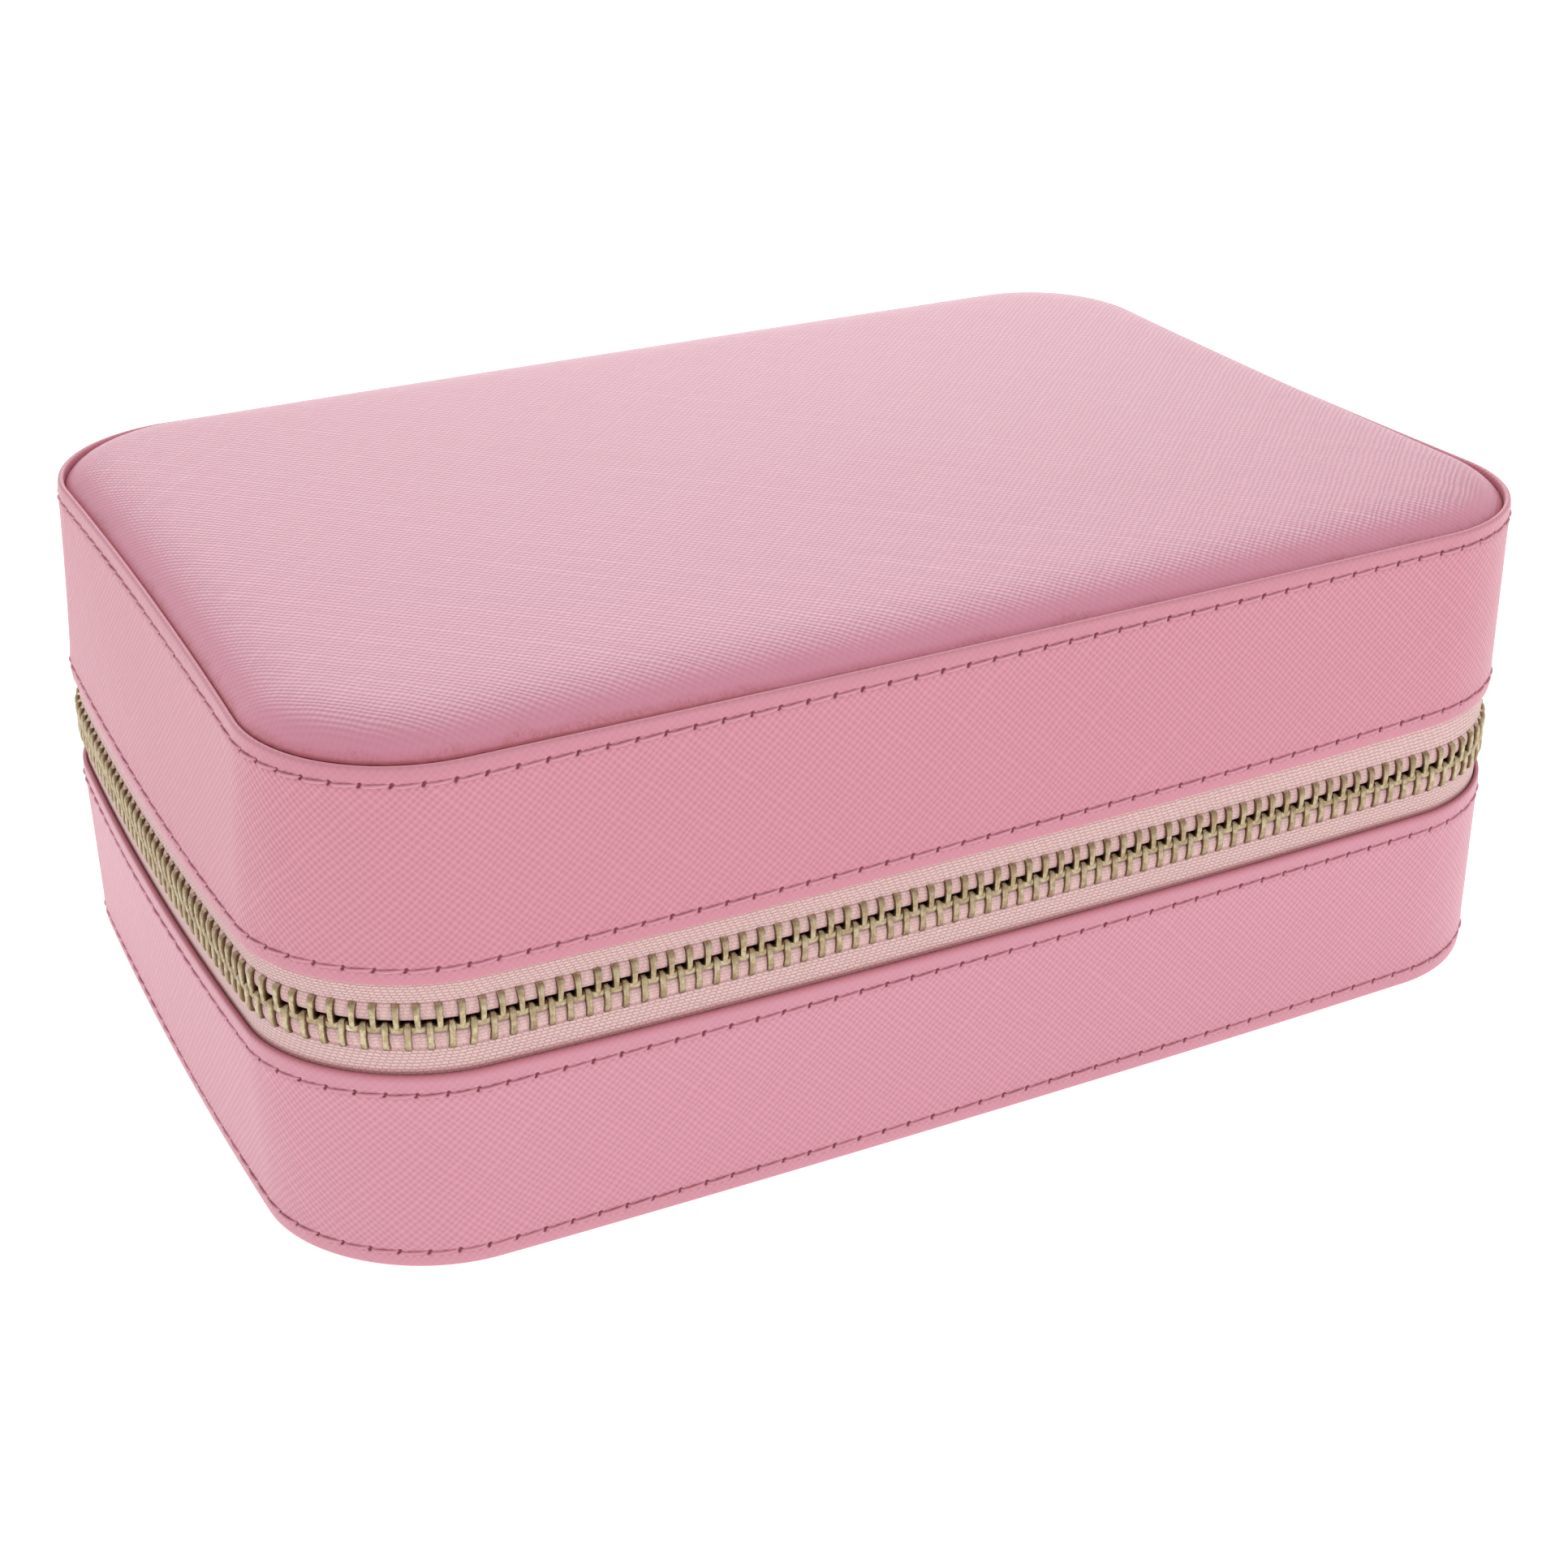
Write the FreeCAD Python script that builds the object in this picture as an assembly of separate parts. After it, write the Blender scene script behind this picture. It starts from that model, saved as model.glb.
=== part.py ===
import FreeCAD, Part
import math
import os

# Zip-around makeup train case. Millimetres, +Z up, +X along the long side,
# the front faces -Y and the hinge is at the back, +Y. The origin is the centre
# of the flat underside. Every layer is placed by its inset from the outer skin.

# ---- outer form ----
LENGTH = 180.0
DEPTH = 124.0
CORNER = 21.5
BASE_TOP = 27.0
LID_BOTTOM = 39.5
LID_TOP = 68.0
DOME_TOP = 71.0

# ---- layers, as insets from the outer skin: (outer, inner) ----
COVER = (0.0, 1.2)
TAPE = (1.25, 1.85)
FOAM = (1.25, 1.95)
BOARD = (2.0, 4.0)
LINING = (4.05, 4.75)
EDGE_ROUND = 0.5
RIM_WIDTH = 2.0
RIM_DEPTH = 1.6
RIM_ROUND = 0.9

# ---- floor and lid top stacks ----
FLOOR_COVER_INSET = 1.25
FLOOR_COVER_TOP = 1.0
FLOOR_BOARD = (1.05, 3.05)
FLOOR_PAD_TOP = 5.1
STACK_GAP = 0.05
TOP_BOARD = (LID_TOP - 4.4, LID_TOP - 2.9)
TOP_LINING_BOTTOM = TOP_BOARD[0] - 0.65
DOME_BOTTOM = TOP_BOARD[1] + STACK_GAP
DOME_INSET = 2.3
DOME_ROUND = 3.6
TOP_COVER_THICK = 1.0

# ---- dividers in the base ----
DIVIDER_THICK = 4.0
DIVIDER_TOP = 25.0
DIVIDER_ROUND = 1.6
LONG_DIVIDER_Y = 16.0
CROSS_DIVIDER_X = 28.0

# ---- mirror in the lid ----
MIRROR = (112.0, 74.0)
MIRROR_ROUND = 6.0
MIRROR_Z = (TOP_LINING_BOTTOM - 2.4, TOP_LINING_BOTTOM - 0.4)
FRAME_BORDER = 6.0
FRAME_LIP = 3.0
FRAME_BOTTOM = MIRROR_Z[0] - 0.85

# ---- zip ----
ZIP_Z = 33.3
PITCH = 2.36
TAPE_HALF_GAP = 0.75
TAPE_WIDTH = 13.75
TOOTH_WIDTH = 0.95
TOOTH_THICK = 3.1
TOOTH_REACH = 3.1
TOOTH_HEAD = 0.55
TOOTH_SLOT = 0.36
TOOTH_SLOT_GAP = 0.14
ZIP_INSET = 1.55
ZIP_END_X = 64.5
TAPE_END_X = 59.0

# the rows part round the sliders' bridges, which meet at y = 0 on the right side
PART_SHIFT = 1.4
PART_FULL = 4.0
PART_NONE = 10.0

# ---- sliders, drawn in (t, z): t runs back from the nose ----
SLIDER_LENGTH = 11.5
SLIDER_NOSE_GAP = 0.2
SLIDER_SHOULDER = 5.0
SLIDER_NOSE_HALF = 5.55
SLIDER_TAIL_HALF = 4.2
FLANGE = 0.8
PLATE_THICK = 1.0
OUTER_PLATE = 0.25
INNER_PLATE = -3.35
FLANGE_DEPTH = 1.0
BRIDGE = (0.6, 3.0)
BRIDGE_HALF = 0.65

# ---- bail and pull ----
BAIL_OUT = 3.0
BAIL_RADIUS = 0.65
BAIL_SPAN = (3.4, 8.2)
BAIL_POST = 0.9
EYE_BORE = 0.72
EYE_OUTER = 1.6
EYE_THICK = 1.6
PULL_THICK = 1.4
PULL_NECK = 0.8
PULL_SHOULDER = 4.2
PULL_TOP_HALF = 1.8
PULL_END_HALF = 3.1
PULL_LENGTH = 24.0
PULL_HOLE = 1.5

# ---- hinge strip at the back ----
HINGE_HALF = 62.0
HINGE_INSET = (0.1, 1.1)
HINGE_GAP = 0.05

X_HALF = LENGTH / 2
Y_HALF = DEPTH / 2


def vec(x, y, z):
    return FreeCAD.Vector(x, y, z)


def rounded(half_x, half_y, radius, z):
    """A closed rounded-rectangle wire at height z."""
    cx = half_x - radius
    cy = half_y - radius
    edges = []
    for turn in range(4):
        a = math.radians(90 * turn)
        sx = 1 if turn in (0, 3) else -1
        sy = 1 if turn in (0, 1) else -1
        centre = vec(sx * cx, sy * cy, z)
        on = [centre + vec(radius * math.cos(a + t), radius * math.sin(a + t), 0)
              for t in (0, math.pi / 4, math.pi / 2)]
        if edges:
            edges.append(Part.makeLine(edges[-1].Vertexes[-1].Point, on[0]))
        edges.append(Part.Arc(*on).toShape())
    edges.append(Part.makeLine(edges[-1].Vertexes[-1].Point, edges[0].Vertexes[0].Point))
    return Part.Wire(edges)


def outline(inset, z):
    """The case's own outline, moved in from the outer skin."""
    return rounded(X_HALF - inset, Y_HALF - inset, CORNER - inset, z)


def slab(inset, z0, z1):
    return Part.Face(outline(inset, z0)).extrude(vec(0, 0, z1 - z0))


def ring(layer, z0, z1):
    """An upright wall that follows the outline between two insets."""
    return slab(layer[0], z0, z1).cut(slab(layer[1], z0, z1))


def box(x0, x1, y0, y1, z0, z1):
    return Part.makeBox(x1 - x0, y1 - y0, z1 - z0, vec(x0, y0, z0))


def round_rim(shape, z, inset, radius):
    """Rounds the edges of a shape that lie on the outline at height z."""
    found = []
    for edge in shape.Edges:
        mid = edge.valueAt((edge.FirstParameter + edge.LastParameter) / 2)
        point = Part.Vertex(mid)
        near = outline(inset, z).distToShape(point)[0] < 1e-4
        if near and abs(edge.BoundBox.ZLength) < 1e-6:
            found.append(edge)
    return shape.makeFillet(radius, found)


# ---- base shell ----

def base_side_cover():
    shape = ring(COVER, 0, BASE_TOP)
    shape = round_rim(shape, BASE_TOP, COVER[0], EDGE_ROUND)
    return round_rim(shape, 0, COVER[0], EDGE_ROUND)


def base_floor_cover():
    return slab(FLOOR_COVER_INSET, 0, FLOOR_COVER_TOP)


def base_floor_board():
    return slab(BOARD[0], *FLOOR_BOARD)


def base_wall_board():
    return ring(BOARD, FLOOR_BOARD[1] + STACK_GAP, BASE_TOP - 0.4)


def base_wall_foam():
    return ring(FOAM, FLOOR_COVER_TOP + STACK_GAP, tape_limits(-1)[0] - STACK_GAP)


def base_floor_pad():
    shape = slab(LINING[1] + STACK_GAP, FLOOR_BOARD[1] + STACK_GAP, FLOOR_PAD_TOP)
    return round_rim(shape, FLOOR_PAD_TOP, LINING[1] + STACK_GAP, EDGE_ROUND)


def base_wall_lining():
    return ring(LINING, FLOOR_BOARD[1] + STACK_GAP, BASE_TOP - 0.2)


def padded_wall(x0, x1, y0, y1):
    """A padded divider that stands on the floor pad, with rounded long edges."""
    shape = box(x0, x1, y0, y1, FLOOR_PAD_TOP + STACK_GAP, DIVIDER_TOP)
    along_x = x1 - x0 > y1 - y0
    top = [e for e in shape.Edges
           if abs(e.BoundBox.ZMax - DIVIDER_TOP) < 1e-6 and e.BoundBox.ZLength < 1e-6
           and (e.BoundBox.XLength if along_x else e.BoundBox.YLength) > DIVIDER_THICK + 1]
    return shape.makeFillet(DIVIDER_ROUND, top)


def long_divider():
    reach = X_HALF - LINING[1] - STACK_GAP
    half = DIVIDER_THICK / 2
    return padded_wall(-reach, reach, LONG_DIVIDER_Y - half, LONG_DIVIDER_Y + half)


def cross_divider(side):
    half = DIVIDER_THICK / 2
    x = side * CROSS_DIVIDER_X
    front = -(Y_HALF - LINING[1] - STACK_GAP)
    back = LONG_DIVIDER_Y - half - STACK_GAP
    return padded_wall(x - half, x + half, front, back)


# ---- lid shell ----

def lid_side_cover():
    wall = ring(COVER, LID_BOTTOM, LID_TOP)
    rim = ring((COVER[0], RIM_WIDTH), LID_TOP - RIM_DEPTH, LID_TOP)
    shape = wall.fuse(rim).removeSplitter()
    shape = round_rim(shape, LID_TOP, COVER[0], RIM_ROUND)
    return round_rim(shape, LID_BOTTOM, COVER[0], EDGE_ROUND)


def lid_wall_board():
    return ring(BOARD, LID_BOTTOM + 0.4, TOP_BOARD[0] - STACK_GAP)


def lid_wall_foam():
    return ring(FOAM, tape_limits(1)[1] + STACK_GAP, TOP_BOARD[1])


def lid_top_board():
    return slab(BOARD[0], *TOP_BOARD)


def lid_wall_lining():
    return ring(LINING, LID_BOTTOM + 0.2, TOP_LINING_BOTTOM - STACK_GAP)


def lid_top_lining():
    return slab(LINING[0], TOP_LINING_BOTTOM, TOP_BOARD[0] - STACK_GAP)


def dome(inset, top, rounding):
    """A pillow-like block with a soft shoulder, standing on the lid's top board."""
    return round_rim(slab(inset, DOME_BOTTOM, top), top, inset, rounding)


def lid_top_cover():
    inner = dome(DOME_INSET + TOP_COVER_THICK, DOME_TOP - TOP_COVER_THICK,
                 DOME_ROUND - TOP_COVER_THICK)
    return dome(DOME_INSET, DOME_TOP, DOME_ROUND).cut(inner)


def lid_top_pad():
    step = TOP_COVER_THICK + STACK_GAP
    return dome(DOME_INSET + step, DOME_TOP - step, DOME_ROUND - step)


def mirror():
    wire = rounded(MIRROR[0] / 2, MIRROR[1] / 2, MIRROR_ROUND, MIRROR_Z[0])
    return Part.Face(wire).extrude(vec(0, 0, MIRROR_Z[1] - MIRROR_Z[0]))


def mirror_frame():
    """A stitched frame that holds the mirror's edge against the lid's lining."""
    top = TOP_LINING_BOTTOM - STACK_GAP

    def block(grow, z0, z1):
        wire = rounded(MIRROR[0] / 2 + grow, MIRROR[1] / 2 + grow, MIRROR_ROUND + grow, z0)
        return Part.Face(wire).extrude(vec(0, 0, z1 - z0))
    shape = block(FRAME_BORDER, FRAME_BOTTOM, top)
    shape = shape.cut(block(STACK_GAP, MIRROR_Z[0] - STACK_GAP, top))
    return shape.cut(block(-FRAME_LIP, FRAME_BOTTOM, MIRROR_Z[0]))


# ---- zip chain ----

def tape_limits(side):
    """Lowest and highest z of the tape below (-1) or above (1) the teeth."""
    near = ZIP_Z + side * TAPE_HALF_GAP
    far = ZIP_Z + side * (TAPE_HALF_GAP + TAPE_WIDTH)
    return min(near, far), max(near, far)


def parting(y):
    """How far each row stands back from the chain's centre line at y."""
    closeness = (PART_NONE - abs(y)) / (PART_NONE - PART_FULL)
    return PART_SHIFT * min(max(closeness, 0.0), 1.0)


def zip_tape(side):
    """Woven tape from the hinge round to the hinge, drawn back at the sliders."""
    shape = ring(TAPE, *tape_limits(side))
    shape = shape.cut(box(-TAPE_END_X, TAPE_END_X, 0, DEPTH, 0, LID_TOP))
    edge = ZIP_Z + side * TAPE_HALF_GAP
    drawn = edge + side * PART_SHIFT
    points = [(-PART_NONE, edge), (-PART_FULL, drawn), (PART_FULL, drawn), (PART_NONE, edge)]
    outer = [vec(X_HALF - 5, y, z) for y, z in points]
    notch = Part.Face(Part.makePolygon(outer + outer[:1])).extrude(vec(10, 0, 0))
    return shape.cut(notch)


def zip_path():
    """(length, place) of each run and bend of the chain, from back left to back right."""
    x = X_HALF - CORNER
    y = Y_HALF - CORNER
    radius = CORNER - ZIP_INSET
    bend = radius * math.pi / 2
    end = ZIP_END_X

    def run(start, direction):
        return lambda s: (start[0] + direction[0] * s, start[1] + direction[1] * s,
                          math.atan2(direction[1], direction[0]))

    def turn(centre, first):
        def place(s):
            a = math.radians(first) + s / radius
            return (centre[0] + radius * math.cos(a), centre[1] + radius * math.sin(a),
                    a + math.pi / 2)
        return place
    far_x = X_HALF - ZIP_INSET
    far_y = Y_HALF - ZIP_INSET
    return [
        (x - end, run((-end, far_y), (-1, 0))),
        (bend, turn((-x, y), 90)),
        (2 * y, run((-far_x, y), (0, -1))),
        (bend, turn((-x, -y), 180)),
        (2 * x, run((-x, -far_y), (1, 0))),
        (bend, turn((x, -y), 270)),
        (2 * y, run((far_x, -y), (0, 1))),
        (bend, turn((x, y), 0)),
        (x - end, run((x, far_y), (-1, 0))),
    ]


def tooth_places(offset):
    """(x, y, heading) of each tooth, one pitch apart along the chain."""
    path = zip_path()
    total = sum(length for length, place in path)
    count = int((total - offset) / PITCH)
    places = []
    for number in range(count):
        s = offset + number * PITCH
        for length, place in path:
            if s <= length:
                places.append(place(s))
                break
            s -= length
    return places


def zip_teeth(side):
    """One row of teeth, each clamped over the tape's edge by a slot."""
    half = TOOTH_THICK / 2
    edge = TAPE_HALF_GAP - TOOTH_SLOT_GAP
    profile = [(-half, TOOTH_REACH), (-TOOTH_SLOT, TOOTH_REACH), (-TOOTH_SLOT, edge),
               (TOOTH_SLOT, edge), (TOOTH_SLOT, TOOTH_REACH), (half, TOOTH_REACH),
               (half, -TOOTH_HEAD), (-half, -TOOTH_HEAD)]
    points = [vec(-TOOTH_WIDTH / 2, u, side * v) for u, v in profile]
    tooth = Part.Face(Part.makePolygon(points + points[:1])).extrude(vec(TOOTH_WIDTH, 0, 0))
    solids = []
    for x, y, heading in tooth_places(PITCH / 2 if side > 0 else PITCH):
        shift = parting(y) if x > X_HALF - CORNER else 0.0
        one = tooth.copy()
        one.rotate(vec(0, 0, 0), vec(0, 0, 1), math.degrees(heading))
        one.translate(vec(x, y, ZIP_Z + side * shift))
        solids.append(one)
    return Part.makeCompound(solids)


# ---- sliders and pulls, placed on the right side ----

def place_on_zip(shape, end):
    """Puts a piece drawn in (t back from the nose, n outward, z) on the zip.

    end is -1 for the slider on the front side of the meeting point and 1 behind it.
    """
    shape.rotate(vec(0, 0, 0), vec(0, 0, 1), -90)
    shape.translate(vec(X_HALF, -SLIDER_NOSE_GAP, ZIP_Z))
    return shape if end < 0 else shape.mirror(vec(0, 0, 0), vec(0, 1, 0))


def slider_outline(narrow, tail, n):
    points = [(0, -(SLIDER_NOSE_HALF - narrow)),
              (SLIDER_SHOULDER, -(SLIDER_NOSE_HALF - narrow)),
              (tail, -(SLIDER_TAIL_HALF - narrow)),
              (tail, SLIDER_TAIL_HALF - narrow),
              (SLIDER_SHOULDER, SLIDER_NOSE_HALF - narrow),
              (0, SLIDER_NOSE_HALF - narrow)]
    corners = [vec(t, n, z) for t, z in points]
    return Part.Face(Part.makePolygon(corners + corners[:1]))


def slider_half(n, thick, flange_to):
    """One plate, with flanges at its sides that turn in towards the tape."""
    plate = slider_outline(0, SLIDER_LENGTH, n).extrude(vec(0, thick, 0))
    wall = slider_outline(0, SLIDER_LENGTH, n).extrude(vec(0, flange_to, 0))
    throat = slider_outline(FLANGE, SLIDER_LENGTH, n).extrude(vec(0, flange_to, 0))
    return plate.fuse(wall.cut(throat))


def slider(end):
    outer = slider_half(OUTER_PLATE, PLATE_THICK, -FLANGE_DEPTH)
    inner = slider_half(INNER_PLATE, -PLATE_THICK, FLANGE_DEPTH)
    bridge = box(BRIDGE[0], BRIDGE[1], INNER_PLATE, OUTER_PLATE, -BRIDGE_HALF, BRIDGE_HALF)
    body = outer.fuse([inner, bridge])
    bar = Part.makeCylinder(BAIL_RADIUS, BAIL_SPAN[1] - BAIL_SPAN[0],
                            vec(BAIL_SPAN[0], BAIL_OUT, 0), vec(1, 0, 0))
    posts = []
    for t in (BAIL_SPAN[0] - BAIL_POST, BAIL_SPAN[1]):
        posts.append(box(t, t + BAIL_POST, OUTER_PLATE + PLATE_THICK, BAIL_OUT + BAIL_RADIUS,
                         -BAIL_RADIUS, BAIL_RADIUS))
    body = body.fuse([bar] + posts).removeSplitter()
    return place_on_zip(body, end)


def pull(end):
    """A cast pull that hangs from the bail by an eye."""
    mid = (BAIL_SPAN[0] + BAIL_SPAN[1]) / 2
    start = vec(mid - EYE_THICK / 2, BAIL_OUT, 0)
    eye = Part.makeCylinder(EYE_OUTER, EYE_THICK, start, vec(1, 0, 0))
    half = PULL_THICK / 2
    neck = box(mid - PULL_NECK, mid + PULL_NECK, BAIL_OUT - half, BAIL_OUT + half,
               -PULL_SHOULDER, 0)
    face_n = BAIL_OUT - half
    end_z = -(PULL_LENGTH - PULL_END_HALF)
    top_z = -(PULL_SHOULDER - PULL_NECK)
    corners = [vec(mid - PULL_END_HALF, face_n, end_z), vec(mid - PULL_TOP_HALF, face_n, top_z),
               vec(mid + PULL_TOP_HALF, face_n, top_z), vec(mid + PULL_END_HALF, face_n, end_z)]
    edges = [Part.makeLine(a, b) for a, b in zip(corners, corners[1:])]
    edges.append(Part.Arc(corners[-1], vec(mid, face_n, -PULL_LENGTH), corners[0]).toShape())
    tab = Part.Face(Part.Wire(edges)).extrude(vec(0, PULL_THICK, 0))
    bore = Part.makeCylinder(EYE_BORE, EYE_THICK, start, vec(1, 0, 0))
    window = Part.makeCylinder(PULL_HOLE, PULL_THICK, vec(mid, face_n, end_z), vec(0, 1, 0))
    shape = eye.fuse([neck, tab]).cut(bore).cut(window).removeSplitter()
    return place_on_zip(shape, end)


# ---- flexible hinge at the back ----

def hinge_strip():
    return box(-HINGE_HALF, HINGE_HALF, Y_HALF - HINGE_INSET[1], Y_HALF - HINGE_INSET[0],
               BASE_TOP + HINGE_GAP, LID_BOTTOM - HINGE_GAP)


def hinge_lining():
    return box(-HINGE_HALF, HINGE_HALF, Y_HALF - LINING[1], Y_HALF - LINING[0],
               BASE_TOP - 0.2 + HINGE_GAP, LID_BOTTOM + 0.2 - HINGE_GAP)


NODES = {
    "base_side_cover": base_side_cover,
    "base_floor_cover": base_floor_cover,
    "base_floor_board": base_floor_board,
    "base_wall_board": base_wall_board,
    "base_wall_foam": base_wall_foam,
    "base_floor_pad": base_floor_pad,
    "base_wall_lining": base_wall_lining,
    "long_divider": long_divider,
    "cross_divider_left": lambda: cross_divider(-1),
    "cross_divider_right": lambda: cross_divider(1),
    "zip_tape_base": lambda: zip_tape(-1),
    "zip_teeth_base": lambda: zip_teeth(-1),
    "hinge_strip": hinge_strip,
    "hinge_lining": hinge_lining,
    "lid_side_cover": lid_side_cover,
    "lid_wall_board": lid_wall_board,
    "lid_wall_foam": lid_wall_foam,
    "lid_top_board": lid_top_board,
    "lid_top_pad": lid_top_pad,
    "lid_top_cover": lid_top_cover,
    "lid_wall_lining": lid_wall_lining,
    "lid_top_lining": lid_top_lining,
    "mirror": mirror,
    "mirror_frame": mirror_frame,
    "zip_tape_lid": lambda: zip_tape(1),
    "zip_teeth_lid": lambda: zip_teeth(1),
    "slider_front": lambda: slider(-1),
    "slider_rear": lambda: slider(1),
    "pull_front": lambda: pull(-1),
    "pull_rear": lambda: pull(1),
}

os.makedirs("parts", exist_ok=True)
for name, make in NODES.items():
    shape = make()
    size = shape.BoundBox
    print("%-20s valid %s solids %3d volume %9.1f  x %.2f..%.2f y %.2f..%.2f z %.2f..%.2f" % (
        name, shape.isValid(), len(shape.Solids), shape.Volume, size.XMin, size.XMax,
        size.YMin, size.YMax, size.ZMin, size.ZMax))
    shape.exportStep("parts/%s.step" % name)
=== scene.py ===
import math

import bmesh
import bpy
import numpy as np
from mathutils import Matrix, Vector


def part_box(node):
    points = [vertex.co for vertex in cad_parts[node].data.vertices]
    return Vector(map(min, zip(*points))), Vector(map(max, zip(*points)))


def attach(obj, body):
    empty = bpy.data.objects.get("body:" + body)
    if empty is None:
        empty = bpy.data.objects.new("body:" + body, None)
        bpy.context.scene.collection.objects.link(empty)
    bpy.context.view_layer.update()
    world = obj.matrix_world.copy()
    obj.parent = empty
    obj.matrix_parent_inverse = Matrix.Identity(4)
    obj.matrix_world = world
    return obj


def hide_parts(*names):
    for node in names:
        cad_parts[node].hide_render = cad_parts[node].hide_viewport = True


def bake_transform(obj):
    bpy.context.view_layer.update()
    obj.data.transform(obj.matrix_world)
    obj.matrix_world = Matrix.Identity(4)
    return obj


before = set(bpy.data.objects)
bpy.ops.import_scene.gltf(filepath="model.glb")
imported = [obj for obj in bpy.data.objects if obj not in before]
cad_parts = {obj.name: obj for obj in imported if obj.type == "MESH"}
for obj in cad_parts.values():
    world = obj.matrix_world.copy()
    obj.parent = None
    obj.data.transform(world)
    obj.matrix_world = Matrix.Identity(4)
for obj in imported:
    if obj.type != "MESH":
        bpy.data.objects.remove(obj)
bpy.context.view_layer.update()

# Looks of a zip-around makeup train case. Shapes are worked out in millimetres, in the
# CAD frame (+Z up, front -Y, hinge +Y), and become metres when a mesh is made.
MM = 0.001
scatter = np.random.default_rng(7)


def reach(node):
    """Lowest and highest corner of a CAD node, in millimetres."""
    low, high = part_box(node)
    return np.array(low) / MM, np.array(high) / MM


X_HALF, Y_HALF, BASE_TOP = reach("base_side_cover")[1]
LID_BOTTOM = reach("lid_side_cover")[0][2]
LID_TOP = reach("lid_side_cover")[1][2]
DOME_TOP = reach("lid_top_cover")[1][2]
ZIP_Z = (reach("zip_tape_base")[1][2] + reach("zip_tape_lid")[0][2]) / 2
TAPE_FAR = reach("zip_tape_lid")[1][2] - ZIP_Z
HINGE_HALF = reach("hinge_strip")[1][0]
CORNER = 21.5

# ---- the zip, as in the CAD ----
PITCH = 2.36
ZIP_INSET = 1.55
ROW_INSET = 1.15
ZIP_END_X = 64.5
TAPE_END_X = 59.0
TAPE_HALF_GAP = 0.75

# ---- the rows part under the sliders: how far, and from where to where along the side ----
PART_SHIFT = 1.4
PART_FULL = 4.0
PART_NONE = 10.0

# ---- sliders and pulls ----
SLIDER_NOSE_GAP = 0.2
SLIDER_LENGTH = 11.5
BAIL_OUT = 3.0
BAIL_SPAN = (3.4, 8.2)
PULL_LENGTH = 24.0

# ---- stitches in a row, and the rows by height ----
STITCHES = 159
MIRROR_STITCHES = 150
BASE_ROWS = (2.2, BASE_TOP - 2.65)
LID_ROWS = (LID_BOTTOM + 2.1, LID_TOP - 2.25)

# ---- how far the soft walls bow outward, at these heights ----
BOW_LEVELS = (0.0, BASE_ROWS[1], BASE_TOP, ZIP_Z, LID_BOTTOM, LID_TOP)
BOW_LEFT = (1.9, 2.6, 2.6, 2.8, 2.3, -1.5)
BOW_RIGHT = (0.2, 0.2, 0.2, 0.2, 0.0, -1.5)
BOW_FRONT = (0.95, 1.4, 1.4, 1.1, 0.95, 1.2)
BOW_BACK = (0.0, 0.0, 0.0, 0.0, 0.0, 1.1)

# ---- the front corners ride up at these heights, and the lid is slightly twisted ----
CORNER_RISE = (0.4, 0.9, 0.95, 0.8, 1.4, 0.0)
LID_TWIST = 0.8

# ---- the padded top: its inset from the wall, and how it swells out of the crevice ----
RIM = 0.88
DOME_EDGE = LID_TOP - 0.75
DOME_RUN = 2.9
CROWN = 0.25
CROWN_RUN = 25

# ---- the floor cushion, by height ----
PAD_EDGE = reach("base_floor_pad")[0][2] + 0.6
PAD_TOP = reach("base_floor_pad")[1][2]

# ---- colours ----
PINK = (0.60, 0.240, 0.305)
# Painted light: the base's pink is the lid's leather painted lighter, standing in for more light from below.
PINK_BASE_LIT = (0.62, 0.270, 0.343)
# Painted light: the top's pink is the same leather painted a little darker and cooler, offsetting the
# stronger lamp light and sheen on the top.
PINK_TOP_DIMMED = (0.567, 0.235, 0.315)
THREAD_PINK = (0.71, 0.34, 0.41)
TAPE_PINK = (0.79, 0.555, 0.535)
LINING_PINK = (0.78, 0.56, 0.54)
BOARD_GREY = (0.42, 0.38, 0.33)
FOAM_WHITE = (0.85, 0.83, 0.78)

# ---- the leather's crosshatch: pitch of its two sets of ridges, and their share of the height ----
STRONG_PITCH = 0.76
WEAK_PITCH = 0.72
STRONG_SHARE = 0.52
WEAK_SHARE = 0.48

# ---- light ----
WORLD_LIGHT = 0.78
WORLD_SEEN = 1.0
CASE_MIDDLE = (0, 0, 0.04)


# ---------------------------------------------------------------- camera and light

def make_camera():
    """Looking at the case from the front left and above."""
    azimuth, elevation, roll = (math.radians(a) for a in (-26.627, 26.770, -0.4975))
    distance, aside, above = 0.39115, 0.00108, 0.01815
    back = Vector((math.sin(azimuth) * math.cos(elevation),
                   -math.cos(azimuth) * math.cos(elevation), math.sin(elevation)))
    level = Vector((math.cos(azimuth), math.sin(azimuth), 0))
    rise = back.cross(level)
    right = level * math.cos(roll) + rise * math.sin(roll)
    up = rise * math.cos(roll) - level * math.sin(roll)
    data = bpy.data.cameras.new("camera")
    data.sensor_width = 36.0
    data.lens = 59.46
    data.clip_start = 0.01
    camera = bpy.data.objects.new("camera", data)
    turn = Matrix((right, up, back)).transposed().to_4x4()
    camera.matrix_world = Matrix.Translation(right * aside + up * above + back * distance) @ turn
    bpy.context.scene.collection.objects.link(camera)
    bpy.context.scene.camera = camera


def make_lamp(name, place, size, power):
    """A round soft lamp, aimed at the case."""
    data = bpy.data.lights.new(name, "AREA")
    data.shape = "DISK"
    data.size = size
    data.energy = power
    data.color = (1.0, 0.99, 1.0)
    lamp = bpy.data.objects.new(name, data)
    lamp.location = place
    lamp.rotation_euler = (Vector(CASE_MIDDLE) - Vector(place)).to_track_quat("-Z", "Y").to_euler()
    bpy.context.scene.collection.objects.link(lamp)


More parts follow.
